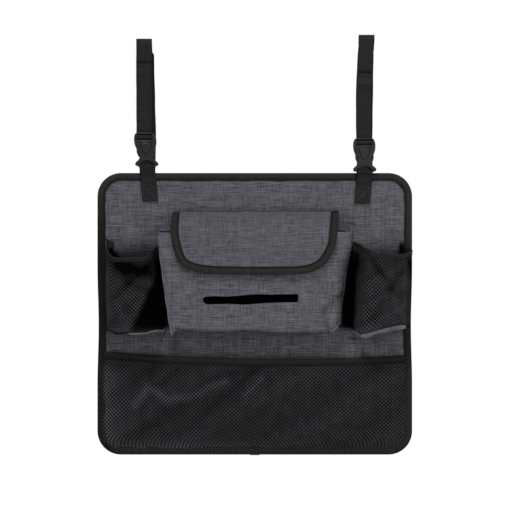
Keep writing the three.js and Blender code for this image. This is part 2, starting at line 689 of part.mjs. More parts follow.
function strapLine(spec) {
  const barZ = spec.buckleZ - BUCKLE_BAR_DROP;
  const foldZ = spec.topZ - POST_RADIUS - WEBBING;
  const foldY = POST_RADIUS + WEBBING / 2;
  const tailStart = BUCKLE_Y + WRAP;
  const loadStart = tailStart + LAYER;
  const loadAt = (z) => THREE.MathUtils.mapLinear(z, spec.buckleZ, foldZ, loadStart, -foldY);
  const turn = (loadStart - (BUCKLE_Y - WRAP)) / 2;
  const turnY = BUCKLE_Y - WRAP + turn;
  const inner = WRAP - 0.65;
  const sewnY = -RIM_STEP + GAP + WEBBING / 2;
  const tapeY = sewnY + TAPE;
  const tapeZ = PANEL_TOP - BINDING_WIDTH;
  const run = (from, to, y) => [from, to].map((z) => new THREE.Vector2(y(z), z));
  const hemTop = spec.tailZ - LAYER / 2;
  return [
    new THREE.Vector2(sewnY, PANEL_TOP - SEWN_BACK),
    new THREE.Vector2(sewnY, tapeZ - 4),
    new THREE.Vector2(tapeY, tapeZ - 1),
    new THREE.Vector2(tapeY, PANEL_TOP),
    ...evenly(5, 0.12, 0.9).map((s) => new THREE.Vector2(
      THREE.MathUtils.lerp(tapeY, foldY, s ** 0.8), THREE.MathUtils.lerp(PANEL_TOP, foldZ, s),
    )),
    ...arc(0, foldZ, foldY, 0, Math.PI, 8),
    ...evenly(5, 0.1, 0.9).map((s) => new THREE.Vector2(
      loadAt(THREE.MathUtils.lerp(foldZ, spec.buckleZ, s)), THREE.MathUtils.lerp(foldZ, spec.buckleZ, s),
    )),
    new THREE.Vector2(loadStart, spec.buckleZ),
    ...arc(turnY, barZ - 0.4, turn, 0, -Math.PI, 8),
    ...arc(BUCKLE_Y, barZ, WRAP, Math.PI, Math.PI / 2, 5),
    ...arc(tailStart - inner, barZ + WRAP + inner, inner, -Math.PI / 2, 0, 4),
    new THREE.Vector2(tailStart, spec.buckleZ + 1),
    ...run(spec.buckleZ + 12, spec.tailZ - 26, (z) => loadAt(z) - LAYER),
    ...run(spec.tailZ - 15, hemTop, (z) => loadAt(z) - 2 * LAYER),
    ...arc(loadAt(hemTop) - 1.5 * LAYER, hemTop, LAYER / 2, Math.PI, 0, 4).slice(1),
    new THREE.Vector2(loadAt(hemTop - HEM_FOLD) - LAYER, hemTop - HEM_FOLD),
  ];
}

function strapWebbing(spec) {
  const line = strapLine(spec);
  const foldZ = spec.topZ - POST_RADIUS;
  const crestZ = Math.max(...line.map((point) => point.y));
  const crest = line.findIndex((point) => point.y === crestZ);
  const sidewaysAt = (z, i) => {
    const rise = THREE.MathUtils.clamp((z - spec.buckleZ) / (foldZ - spec.buckleZ), 0, 1);
    const hanging = Math.max(z, PANEL_TOP);
    if (i <= crest) return THREE.MathUtils.mapLinear(hanging, PANEL_TOP, foldZ, spec.backX, spec.topX);
    return THREE.MathUtils.lerp(spec.buckleX, spec.topX, rise) + spec.bow * Math.sin(Math.PI * rise);
  };
  return webbing(line, sidewaysAt);
}

// The short doubled webbing that holds the female half to the panel's front.
function anchorLine(spec) {
  const barZ = spec.buckleZ - FEMALE_BAR_DROP;
  const onFace = FACE_Y - GAP - WEBBING / 2;
  const onTape = BINDING_Y - GAP - WEBBING / 2;
  const tapeZ = PANEL_TOP - BINDING_WIDTH;
  return [
    new THREE.Vector2(onFace, spec.anchorZ),
    new THREE.Vector2(onFace, tapeZ - 4),
    new THREE.Vector2(onTape, tapeZ - 1),
    new THREE.Vector2(onTape, tapeZ + 5),
    ...arc(BUCKLE_Y, barZ, WRAP, 0, Math.PI, 8),
    new THREE.Vector2(onTape - LAYER, tapeZ + 5),
    new THREE.Vector2(onTape - LAYER, tapeZ - 1),
    new THREE.Vector2(onFace - LAYER, tapeZ - 4),
    new THREE.Vector2(onFace - LAYER, spec.anchorZ),
  ];
}

function anchorWebbing(spec) {
  const barZ = spec.buckleZ - FEMALE_BAR_DROP;
  return webbing(anchorLine(spec), (z) => (
    THREE.MathUtils.mapLinear(z, spec.anchorZ, barZ, spec.anchorX, spec.buckleX)
  ));
}

// Buckles, drawn about the buckle's top centre and then moved to their strap

const HALF_BUCKLE = BUCKLE_WIDTH / 2;
const WINDOW_HALF = WEBBING_WIDTH / 2 + 0.4;
const WINDOW_TOP = -2;
const WINDOW_BOTTOM = -9.8;
const SHOULDER_DROP = 11.4;
const NOTCH_DROP = 20.4;
const WAIST_DROP = 32.2;
const WING_DROP = 39;
const ARM_END = -26;
const ARM_INNER = 7.9;

function mirrored(points) {
  const other = points.map(([x, z]) => [-x, z]).reverse();
  return [...points, ...other].map(([x, z]) => new THREE.Vector2(x, z));
}

function along(curve, count) {
  return curve.getPoints(count).map((p) => [p.x, p.y]);
}

function bend(x0, z0, x1, z1, x2, z2) {
  return new THREE.QuadraticBezierCurve(
    new THREE.Vector2(x0, z0), new THREE.Vector2(x1, z1), new THREE.Vector2(x2, z2),
  );
}

function barAcross(halfLength, y, z) {
  return new THREE.CylinderGeometry(BAR_RADIUS, BAR_RADIUS, 2 * halfLength, 10)
    .rotateZ(Math.PI / 2).translate(0, y, z);
}

function buckleMale() {
  const half = MALE_THICKNESS / 2;
  const flank = [
    [10.4, 0],
    ...along(bend(11.6, -1.2, HALF_BUCKLE, -5, HALF_BUCKLE, -SHOULDER_DROP), 5),
    ...along(bend(HALF_BUCKLE - 0.3, -14.5, 12.8, -18.5, 11.7, -NOTCH_DROP + 0.2), 4),
    [10.5, -NOTCH_DROP - 0.2],
    [10.2, ARM_END + 1.5],
    [9.2, ARM_END],
    [ARM_INNER, ARM_END + 0.6],
    [ARM_INNER, -SHOULDER_DROP - 2],
    [ARM_INNER - 1, -SHOULDER_DROP],
    [2, -SHOULDER_DROP],
    [1.6, ARM_END + 1],
  ];
  const body = plate(mirrored(flank), half, -half);
  const window = block(-WINDOW_HALF, WINDOW_HALF, -10, 10, WINDOW_BOTTOM, WINDOW_TOP);
  const tailRoom = block(-WINDOW_HALF, WINDOW_HALF, BAR_RADIUS, 10, WINDOW_TOP - 1, 1);
  const frame = cut(body, window, tailRoom);
  return join(frame, barAcross(WINDOW_HALF + 1, 0, -BUCKLE_BAR_DROP));
}

function buckleFemale() {
  const half = FEMALE_THICKNESS / 2;
  const bottom = -BUCKLE_LENGTH;
  const shield = 7.4;
  const flank = [
    [shield, -SHOULDER_DROP],
    [shield - 0.8, -NOTCH_DROP],
    [11.7, -NOTCH_DROP - 0.3],
    ...along(bend(12.1, -24, 11.4, -29, 8.5, -WAIST_DROP), 4),
    ...along(bend(9.6, -34.6, 12.4, -36.2, HALF_BUCKLE, -WING_DROP + 0.4), 4),
    [HALF_BUCKLE + 0.1, -WING_DROP - 0.6],
    [13.6, bottom + 0.9],
    [12.4, bottom],
  ];
  const cavity = [[10.9, -SHOULDER_DROP + 2], [10.9, ARM_END - 0.6]];
  const slot = [
    ...along(bend(11, -WING_DROP - 0.9, 7.5, -35.6, 0, -35), 5).slice(0, -1),
    [0.01, -35],
  ];
  const eye = [[11, bottom + 0.01 - 3], ...slot];
  const room = half - PLATE_THICKNESS;
  const body = plate(mirrored(flank), half, -half);
  const hollow = plate(mirrored(cavity), room, -room);
  const opening = plate(mirrored(eye), 10, -10);
  return join(cut(body, hollow, opening), barAcross(12.2, 0, -FEMALE_BAR_DROP));
}

// Assembly

const organiser = new THREE.Group();

function add(name, geometry, material) {
  const mesh = new THREE.Mesh(geometry, material);
  mesh.name = name;
  organiser.add(mesh);
  return mesh;
}

add('panel_face', panelPlate(CLOTH_INSET, -(LINING + BOARD), FACE_Y), GREY_CLOTH);
add('panel_board', panelBoard(), WHITE_FOAM);
add('panel_lining', panelLining(), BLACK_LINING);
add('edge_binding', edgeBinding(), BLACK_TAPE);
add('bottom_pocket_net', bottomPocketNet(), BLACK_NET);
add('bottom_pocket_binding', bottomPocketBinding(), BLACK_TAPE);
add('tissue_pocket_front', tissuePocketFront(), GREY_CLOTH);
add('tissue_pocket_gusset', tissuePocketGusset(), GREY_CLOTH);
add('flap', flap(), GREY_LINED);
add('flap_binding', flapBinding(), BLACK_TAPE);
add('flap_hook_tape', flapHookTape(), BLACK_CLOSURE);
add('pocket_loop_tape', pocketLoopTape(), BLACK_CLOSURE);

for (const spec of SIDES) {
  add(`${spec.name}_pocket_net`, sidePocketNet(spec), BLACK_NET);
  add(`${spec.name}_pocket_hem`, sidePocketHem(spec), BLACK_TAPE);
  add(`${spec.name}_pocket_floor`, sidePocketFloor(spec), GREY_CLOTH);
}

for (const spec of STRAPS) {
  add(`${spec.name}_strap`, strapWebbing(spec), BLACK_WEBBING);
  add(`${spec.name}_anchor`, anchorWebbing(spec), BLACK_WEBBING);
  const male = add(`${spec.name}_buckle_male`, buckleMale(), BLACK_PLASTIC);
  const female = add(`${spec.name}_buckle_female`, buckleFemale(), BLACK_PLASTIC);
  male.position.set(spec.buckleX, BUCKLE_Y, spec.buckleZ);
  female.position.set(spec.buckleX, BUCKLE_Y, spec.buckleZ);
}

export default organiser;
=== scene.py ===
# %% [markdown]
# A car seat-back organiser: a stiff grey cloth panel that hangs from two headrest straps. It carries a box
# pocket with a flap, two net bottle pockets and a wide net pocket. The measured model comes in first as a
# fixed frame, and each cell then dresses one part of it. Lengths are in millimetres until a mesh is made.

# %% Load the measured frame
import math
import bpy
import numpy as np
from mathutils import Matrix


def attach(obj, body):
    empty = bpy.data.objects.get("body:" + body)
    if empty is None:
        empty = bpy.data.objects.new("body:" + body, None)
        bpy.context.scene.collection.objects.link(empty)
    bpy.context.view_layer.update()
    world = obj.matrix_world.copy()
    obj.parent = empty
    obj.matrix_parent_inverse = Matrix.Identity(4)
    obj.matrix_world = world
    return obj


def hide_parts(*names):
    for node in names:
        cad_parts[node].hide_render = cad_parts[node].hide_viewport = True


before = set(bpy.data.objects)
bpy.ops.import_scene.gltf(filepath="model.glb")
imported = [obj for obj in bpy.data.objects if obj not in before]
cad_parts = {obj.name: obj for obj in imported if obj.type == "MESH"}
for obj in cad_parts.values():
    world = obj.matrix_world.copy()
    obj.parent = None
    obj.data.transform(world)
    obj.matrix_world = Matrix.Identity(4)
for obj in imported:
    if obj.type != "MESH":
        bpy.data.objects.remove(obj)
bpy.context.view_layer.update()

MM = 0.001

# %% [markdown]
# The photograph is taken straight from the front through a long lens, so lines stay parallel. A camera five
# metres away does the same. `spot` turns a picture position into a place on the object, which helps to put
# a seam exactly where the eye expects it.

# %% Camera
PICTURE = 512
MIDDLE = PICTURE / 2
PIXEL = 1.272
VIEW_X, VIEW_Z = 1.53, 73.46
DISTANCE = 5000.0

camera_data = bpy.data.cameras.new("camera")
camera_data.sensor_width = 36
camera_data.lens = 36 * DISTANCE / (PICTURE * PIXEL)
camera_data.clip_end = 60
camera = bpy.data.objects.new("camera", camera_data)
camera.location = (VIEW_X * MM, -DISTANCE * MM, VIEW_Z * MM)
camera.rotation_euler = (math.pi / 2, 0, 0)
bpy.context.scene.collection.objects.link(camera)
bpy.context.scene.camera = camera


def pixel_at(y):
    """How many millimetres a pixel covers at depth y."""
    return PIXEL * (DISTANCE + y) / DISTANCE


def spot(px, py, y=0.0):
    """X and Z in millimetres of a picture position, on the plane at depth y."""
    scale = pixel_at(y)
    return VIEW_X + (np.asarray(px) - MIDDLE) * scale, VIEW_Z - (np.asarray(py) - MIDDLE) * scale


def picture_x(x, y=0.0):
    """The picture position across of a place at depth y, the other way round from spot."""
    return MIDDLE + (x - VIEW_X) / pixel_at(y)


def picture_y(z, y=0.0):
    """The picture position down of a place at depth y."""
    return MIDDLE + (VIEW_Z - z) / pixel_at(y)


print("lens", round(camera_data.lens, 1))

# %% [markdown]
# Cloth is easiest to shape as a grid of points that a formula moves. Each helper below takes such points and
# makes the object, and keeps the flat cloth's own coordinates as a map, so that a weave follows the cloth
# round every fold.

# %% Helpers that turn points into objects
def make_object(name, points, faces, cloth=None):
    """One mesh object. cloth gives the flat cloth's own coordinates for each point."""
    mesh = bpy.data.meshes.new(name)
    mesh.from_pydata((np.asarray(points, float) * MM).tolist(), [], [list(map(int, f)) for f in faces])
    mesh.polygons.foreach_set("use_smooth", [True] * len(mesh.polygons))
    if cloth is not None:
        corners = np.zeros(len(mesh.loops), dtype=np.int32)
        mesh.loops.foreach_get("vertex_index", corners)
        layer = mesh.uv_layers.new(name="cloth")
        layer.data.foreach_set("uv", (np.asarray(cloth, float)[corners] * MM).ravel())
    mesh.update()
    obj = bpy.data.objects.new(name, mesh)
    bpy.context.scene.collection.objects.link(obj)
    return obj


def grid_faces(rows, columns, loop_rows=False, loop_columns=False):
    """The four corners of each face of a grid, which may close on itself either way."""
    j = np.arange(rows if loop_rows else rows - 1)[:, None]
    i = np.arange(columns if loop_columns else columns - 1)[None, :]
    j2, i2 = (j + 1) % rows, (i + 1) % columns
    at = lambda a, b: (a * columns + b).ravel()
    j, i, j2, i2 = np.broadcast_arrays(j, i, j2, i2)
    return np.stack([at(j, i), at(j, i2), at(j2, i2), at(j2, i)], axis=1)


def cloth_lengths(points):
    """Distances along the rows and up the columns, measured on the cloth itself."""
    across = np.linalg.norm(np.diff(points, axis=1), axis=2)
    up = np.linalg.norm(np.diff(points, axis=0), axis=2)
    s = np.concatenate([np.zeros((points.shape[0], 1)), np.cumsum(across, axis=1)], axis=1)
    t = np.concatenate([np.zeros((1, points.shape[1])), np.cumsum(up, axis=0)], axis=0)
    return np.stack([s - s[:, -1:] / 2, t], axis=2)


def make_grid(name, points, loop_columns=False, cloth=None):
    points = np.asarray(points, float)
    rows, columns = points.shape[:2]
    cloth = cloth_lengths(points) if cloth is None else cloth
    faces = grid_faces(rows, columns, loop_columns=loop_columns)
    return make_object(name, points.reshape(-1, 3), faces, np.asarray(cloth).reshape(-1, 2))


def join_meshes(name, parts):
    """One object from several (points, faces, cloth) sets."""
    points, faces, cloth, start = [], [], [], 0
    for p, f, c in parts:
        p = np.asarray(p, float).reshape(-1, 3)
        points.append(p)
        faces.extend([[int(v) + start for v in face] for face in f])
        cloth.append(np.asarray(c, float).reshape(-1, 2))
        start += len(p)
    return make_object(name, np.concatenate(points), faces, np.concatenate(cloth))


def places_of(mesh):
    """X, Y and Z of every point of a mesh, in millimetres."""
    points = np.zeros(len(mesh.vertices) * 3)
    mesh.vertices.foreach_get("co", points)
    return points.reshape(-1, 3).T / MM


def store(obj, name, values):
    """Keeps one number for each point, which a material can read by its name."""
    layer = obj.data.attributes.new(name, "FLOAT", "POINT")
    layer.data.foreach_set("value", np.asarray(values, np.float32))


def thicken(obj, amount, offset=-1.0, inside=None):
    """Gives a sheet its thickness, inwards at offset -1 and both ways at 0, with its own finish inside."""
    mod = obj.modifiers.new("thickness", "SOLIDIFY")
    mod.thickness, mod.offset = amount * MM, offset
    if inside is not None:
        obj.data.materials.append(inside)
        mod.material_offset = 1
    return obj


print("faces of a grid of 3 by 3 points", len(grid_faces(3, 3)))

# %% [markdown]
# Soft forms come from a few small formulas: a step with rounded ends, a mix of two values, a smooth line
# through points, uneven waves, and the edge of a cloth that turns back. Working out lines, directions and
# lengths once, here, keeps each piece's own cell short.

# %% Formulas for soft forms
def ease(x, low=0.0, high=1.0):
    """0 up to low, 1 from high on, and a soft step between."""
    x = np.clip((np.asarray(x, float) - low) / (high - low), 0, 1)
    return x * x * (3 - 2 * x)


def smooth_line(points, count):
    """A soft curve that goes through every point, in count steps from each to the next."""
    p = np.asarray(points, float)
    p = np.concatenate([[2 * p[0] - p[1]], p, [2 * p[-1] - p[-2]]])
    out = []
    for k in range(1, len(p) - 2):
        t = np.linspace(0, 1, count, endpoint=False)[:, None]
        a, b, c, d = p[k - 1], p[k], p[k + 1], p[k + 2]
        curve = 2 * b + (c - a) * t + (2 * a - 5 * b + 4 * c - d) * t ** 2
        out.append(0.5 * (curve + (3 * b - a - 3 * c + d) * t ** 3))
    return np.concatenate(out + [p[-2:-1]])


def ripple(x, z, size, seed=0.0):
    """Soft, uneven waves about as long as size: a sum of sines that never lines up."""
    total = 0
    for k in range(5):
        angle = seed * 1.7 + k * 2.4
        stretch = 2 * math.pi / (size * (0.75 + 0.27 * k))
        total = total + np.sin((x * math.cos(angle) + z * math.sin(angle)) * stretch + seed + 1.3 * k * k)
    return total / 3


def blend(a, b, t):
    return a + (b - a) * t


def rounded(distance, width, depth):
    """How far a cloth turns back near its edge, along a quarter of an ellipse of that width and depth."""
    return depth * (1 - np.sqrt(1 - np.clip(1 - distance / width, 0, 1) ** 2))


def unit(directions):
    return directions / np.linalg.norm(directions, axis=1)[:, None]


def run_of(line):
    """The length walked along a line at each of its points."""
    gaps = np.linalg.norm(np.diff(line, axis=0), axis=1)
    return np.concatenate([[0], np.cumsum(gaps)])


def resample(line, step, closed=False):
    """The same line with its points evenly apart, about a step each."""
    line = np.asarray(line, float)
    if closed:
        line = np.concatenate([line, line[:1]])
    run = run_of(line)
    count = max(int(round(run[-1] / step)), 2)
    at = np.linspace(0, run[-1], count + 1)
    if closed:
        at = at[:-1]
    return np.stack([np.interp(at, run, line[:, k]) for k in range(line.shape[1])], axis=1)


def inward(line, closed=True):
    """The direction to the left of a flat line's way, which is inwards all round the panel's edge."""
    ahead = np.roll(line, -1, axis=0) - np.roll(line, 1, axis=0)
    if not closed:
        ahead[0], ahead[-1] = line[1] - line[0], line[-1] - line[-2]
    ahead = unit(ahead)
    return np.stack([-ahead[:, 1], ahead[:, 0]], axis=1)


def band_map(across, run):
    """Flat coordinates of a band: a place across it for each column and a length for each row."""
    return np.stack(np.broadcast_arrays(across, np.asarray(run)[:, None]), axis=2)


print("soft step", [round(float(level), 2) for level in ease(np.linspace(0, 1, 5))])

# %% [markdown]
# The colours are written as a screen shows them and turned into the linear values that light works with.
# Materials come from a few small tools that add nodes and links, so that each recipe reads like a list.

# %% Material tools
def paint(r, g, b):
    """The colour that light works with, from the red, green and blue that a screen shows."""
    def linear(level):
        share = level / 255
        return share / 12.92 if share <= 0.04045 else ((share + 0.055) / 1.055) ** 2.4

    return linear(r), linear(g), linear(b), 1.0


def feed(tree, socket, value):
    """Links a node's output to a socket, or writes a plain value on it."""
    if isinstance(value, bpy.types.NodeSocket):
        tree.links.new(value, socket)
    else:
        socket.default_value = value


def put(tree, kind, inputs=(), **settings):
    """A new node with its settings and inputs."""
    node = tree.nodes.new(kind)
    for key, value in settings.items():
        setattr(node, key, value)
    for key, value in dict(inputs).items():
        feed(tree, node.inputs[key], value)
    return node


def calc(tree, operation, a, b=0.0, c=None):
    inputs = {0: a, 1: b} if c is None else {0: a, 1: b, 2: c}
    return put(tree, "ShaderNodeMath", inputs, operation=operation).outputs[0]


def stretched_noise(tree, vector, scale, detail=2.0, roughness=0.55):
    moved = put(tree, "ShaderNodeVectorMath", {0: vector, 1: scale}, operation="MULTIPLY").outputs[0]
    inputs = {"Vector": moved, "Scale": 1.0, "Detail": detail, "Roughness": roughness}
    return put(tree, "ShaderNodeTexNoise", inputs, noise_dimensions="3D").outputs["Fac"]


def spread(tree, value, low, high, to_low=0.0, to_high=1.0):
    """Stretches the range from low to high over the range from to_low to to_high."""
    inputs = {"Value": value, "From Min": low, "From Max": high, "To Min": to_low, "To Max": to_high}
    return put(tree, "ShaderNodeMapRange", inputs).outputs[0]


def vary(tree, value, noise, amount):
    """Moves a value by a noise, as far up as down."""
    return calc(tree, "MULTIPLY_ADD", noise, amount, calc(tree, "SUBTRACT", value, amount / 2))


def mix_colour(tree, fac, a, b):
    node = put(tree, "ShaderNodeMix", data_type="RGBA")
    for index, value in ((0, fac), (6, a), (7, b)):
        feed(tree, node.inputs[index], value)
    return node.outputs[2]


def new_group(name, inputs, outputs):
    """An empty shader group with named inputs and outputs, ready to be filled with nodes."""
    tree = bpy.data.node_groups.new(name, "ShaderNodeTree")
    for label, kind, value in inputs:
        socket = tree.interface.new_socket(label, in_out="INPUT", socket_type=kind)
        if value is not None:
            socket.default_value = value
    for label, kind in outputs:
        tree.interface.new_socket(label, in_out="OUTPUT", socket_type=kind)
    return tree, tree.nodes.new("NodeGroupInput").outputs, tree.nodes.new("NodeGroupOutput").inputs


def use_group(tree, group, inputs):
    node = tree.nodes.new("ShaderNodeGroup")
    node.node_tree = group
    for key, value in inputs.items():
        feed(tree, node.inputs[key], value)
    return node.outputs


def new_material(name):
    material = bpy.data.materials.new(name)
    material.use_nodes = True
    tree = material.node_tree
    tree.nodes.clear()
    shader = tree.nodes.new("ShaderNodeBsdfPrincipled")
    output = tree.nodes.new("ShaderNodeOutputMaterial")
    tree.links.new(shader.outputs[0], output.inputs[0])
    return material, tree, shader.inputs


def cloth_map(tree):
    return put(tree, "ShaderNodeUVMap", uv_map="cloth").outputs[0]


def place_map(tree):
    return put(tree, "ShaderNodeTexCoord").outputs["Object"]


def stored(tree, name):
    """The number that store kept for each point."""
    return put(tree, "ShaderNodeAttribute", attribute_name=name).outputs["Fac"]


def relief(tree, height, strength, distance):
    inputs = {"Height": height, "Strength": strength, "Distance": distance * MM}
    return put(tree, "ShaderNodeBump", inputs).outputs[0]


print("middle grey as light", round(paint(128, 128, 128)[0], 3))

# %% [markdown]
# The panel's cloth is a melange: its threads were dyed in pale and dark lengths before weaving, so short pale
# and dark dashes run both along and across it. Two noises, one stretched each way, make the dashes. A fine
# checker lets the two sets of threads take turns, as they do in a plain weave.

# %% Melange weave group
THREAD = 0.00055

melange, g_in, g_out = new_group(
    "melange weave",
    [("Vector", "NodeSocketVector", None), ("Dark", "NodeSocketColor", paint(52, 52, 57)),
     ("Light", "NodeSocketColor", paint(128, 128, 134)), ("Contrast", "NodeSocketFloat", 1.0)],
    [("Color", "NodeSocketColor"), ("Height", "NodeSocketFloat")],
)


def dyed_threads(tree, vector, long_axis, rate, seed):
    """The tone along each thread. The place across is snapped to a whole thread, so that a dash stays one
    thread wide."""
    axes = put(tree, "ShaderNodeSeparateXYZ", {0: vector}).outputs
    across = axes["Y" if long_axis == "X" else "X"]
    count = calc(tree, "DIVIDE", across, THREAD)
    which = calc(tree, "FLOOR", count)
    round_top = calc(tree, "SINE", calc(tree, "MULTIPLY", calc(tree, "FRACT", count), math.pi))
    along = calc(tree, "MULTIPLY", axes[long_axis], rate)
    row = calc(tree, "MULTIPLY", which, 0.83)
    place = put(tree, "ShaderNodeCombineXYZ", {0: along, 1: row, 2: seed}).outputs[0]
    noise = put(tree, "ShaderNodeTexNoise", {"Vector": place, "Scale": 1.0, "Detail": 1.5, "Roughness": 0.6})
    return noise.outputs["Fac"], which, round_top


weft, row, weft_top = dyed_threads(melange, g_in["Vector"], "X", 54.0, 0.0)
warp, column, warp_top = dyed_threads(melange, g_in["Vector"], "Y", 72.0, 9.0)
patch = stretched_noise(melange, g_in["Vector"], (38, 60, 7), 2.0)
# Parity is 0 or 1 by turns, like a checker, and says which of the two threads lies on top.
parity = calc(melange, "FLOORED_MODULO", calc(melange, "ADD", row, column), 2.0)
turn = calc(melange, "MULTIPLY_ADD", parity, 0.36, 0.22)
top = calc(melange, "ADD", calc(melange, "MULTIPLY", warp_top, parity),
           calc(melange, "MULTIPLY", weft_top, calc(melange, "SUBTRACT", 1.0, parity)))
threads = calc(melange, "ADD", calc(melange, "MULTIPLY", weft, calc(melange, "SUBTRACT", 1.0, turn)),
               calc(melange, "MULTIPLY", warp, turn))
threads = vary(melange, threads, patch, 0.05)
long_weft = stretched_noise(melange, g_in["Vector"], (13, 640, 3), 1.0)
long_warp = stretched_noise(melange, g_in["Vector"], (600, 13, 3), 1.0)
threads = vary(melange, threads, long_weft, 0.24)
threads = vary(melange, threads, long_warp, 0.16)
# The tones are spread about their middle, and the round top of each thread is painted a little paler, a painted
# highlight.
centred = calc(melange, "MULTIPLY", calc(melange, "SUBTRACT", threads, 0.5), g_in["Contrast"])
level = calc(melange, "ADD", calc(melange, "MULTIPLY", centred, 2.35), 0.31)
level = calc(melange, "MULTIPLY_ADD", top, 0.16, level)
level = put(melange, "ShaderNodeClamp", {"Value": level}).outputs[0]
melange.links.new(mix_colour(melange, level, g_in["Dark"], g_in["Light"]), g_out["Color"])
melange.links.new(top, g_out["Height"])
print("melange nodes", len(melange.nodes))

# %% [markdown]
# Binding tape, webbing and hem band are all woven with ribs across their length. One group makes the ribs
# from a sine along the tape and paints each crest paler, a painted highlight; a noise makes some ribs paler,
# as worn yarn is.

# %% Ribbed tape group
ribbed, g_in, g_out = new_group(
    "ribbed tape",
    [("Vector", "NodeSocketVector", None), ("Ribs", "NodeSocketFloat", 1200.0),
     ("Dark", "NodeSocketColor", paint(28, 28, 27)), ("Light", "NodeSocketColor", paint(60, 60, 57))],
    [("Color", "NodeSocketColor"), ("Height", "NodeSocketFloat")],
)
along = put(ribbed, "ShaderNodeSeparateXYZ", {0: g_in["Vector"]}).outputs
turns = calc(ribbed, "MULTIPLY", g_in["Ribs"], 6.2832)
wave = calc(ribbed, "SINE", calc(ribbed, "MULTIPLY", along["Y"], turns))
rib = calc(ribbed, "MULTIPLY_ADD", wave, 0.5, 0.5)
grain = stretched_noise(ribbed, g_in["Vector"], (420, 900, 5), 3.0, 0.65)
dust = stretched_noise(ribbed, g_in["Vector"], (60, 90, 2), 2.0)
# Each rib's crest is painted paler: a painted highlight.
tone = calc(ribbed, "ADD", calc(ribbed, "MULTIPLY", rib, 0.3), calc(ribbed, "MULTIPLY", grain, 0.75))
tone = spread(ribbed, calc(ribbed, "MULTIPLY_ADD", dust, 0.35, tone), 0.35, 1.15)
ribbed.links.new(mix_colour(ribbed, tone, g_in["Dark"], g_in["Light"]), g_out["Color"])
ribbed.links.new(calc(ribbed, "MULTIPLY_ADD", grain, 0.4, rib), g_out["Height"])
print("ribbed nodes", len(ribbed.nodes))

# %% [markdown]
# Cloth that lies behind a net or deep in a fold gets little light, and a black thread there shows no gloss.
# Each piece can keep a number for that at every point, named gloom, and its material mixes towards near
# black by it. Painting it point by point is quicker than counting on many bounces of light between strands.

# %% Cloth, tape and webbing materials
def melange_cloth(name, dark, light, contrast=1.0):
    material, tree, shader = new_material(name)
    tones = {"Vector": cloth_map(tree), "Dark": dark, "Light": light, "Contrast": contrast}
    weave = use_group(tree, melange, tones)
    gloom = stored(tree, "gloom")
    tree.links.new(mix_colour(tree, gloom, weave["Color"], paint(7, 7, 8)), shader["Base Color"])
    tree.links.new(spread(tree, weave["Height"], 0, 1.0, 0.98, 0.85), shader["Roughness"])
    tree.links.new(relief(tree, weave["Height"], 0.45, 0.2), shader["Normal"])
    shader["Sheen Weight"].default_value = 0.04
    shader["Sheen Roughness"].default_value = 0.5
    tree.links.new(spread(tree, gloom, 0, 1, 0.15, 0.0), shader["Specular IOR Level"])
    return material


def ribbed_cloth(name, dark, light, ribs, depth, crown, reach, rough=0.8):
    """A ribbed band with painted shade towards its edges, so that its middle looks lit: crown is where the
    middle lies across the band and reach is how far the lit part goes to each side, in millimetres."""
    material, tree, shader = new_material(name)
    weave = use_group(tree, ribbed, {"Vector": cloth_map(tree), "Ribs": ribs, "Dark": dark, "Light": light})
    across = put(tree, "ShaderNodeSeparateXYZ", {0: cloth_map(tree)}).outputs["X"]
    away = calc(tree, "ABSOLUTE", calc(tree, "SUBTRACT", across, crown * MM))
    # Painted shade beyond the reach, where the band turns away from the light.
    shade = spread(tree, away, reach * 0.72 * MM, reach * 1.05 * MM, 0.0, 0.75)
    gloom = stored(tree, "gloom")
    shade = calc(tree, "MAXIMUM", shade, gloom)
    tree.links.new(mix_colour(tree, shade, weave["Color"], paint(5, 5, 5)), shader["Base Color"])
    tree.links.new(spread(tree, weave["Height"], 0, 1.4, rough + 0.1, rough - 0.15), shader["Roughness"])
    tree.links.new(relief(tree, weave["Height"], 0.6, depth), shader["Normal"])
    shader["Sheen Weight"].default_value = 0.02
    tree.links.new(spread(tree, gloom, 0, 1, 0.22, 0.05), shader["Specular IOR Level"])
    return material


grey_cloth = melange_cloth("grey melange cloth", paint(38, 38, 42), paint(126, 126, 134))
flap_cloth = melange_cloth("flap melange cloth", paint(38, 37, 41), paint(122, 121, 129), 0.85)
binding_tape = ribbed_cloth("black binding tape", paint(10, 10, 9), paint(54, 54, 51), 560, 0.3, 3.5, 3.9)
# The binding tape again, painted darker for the wide pocket's mouth: painted shade.
shaded_pocket_tape = ribbed_cloth("black pocket tape in painted shade", paint(6, 6, 6), paint(36, 36, 34), 560, 0.3, 3.5, 3.9)
hem_tape = ribbed_cloth("black hem tape", paint(12, 12, 12), paint(44, 44, 44), 700, 0.2, 2.6, 2.4)
strap_webbing = ribbed_cloth("black webbing", paint(7, 8, 8), paint(31, 32, 32), 430, 0.3, 0.0, 10.0, 0.7)
print([m.name for m in bpy.data.materials])

# %% [markdown]
# Net yarn is a smooth black filament, so it needs a soft gloss along each strand and almost no colour. The
# lining, the hook-and-loop tape, the foam and the moulded plastic get their own grain from noises in the
# object's own coordinates.

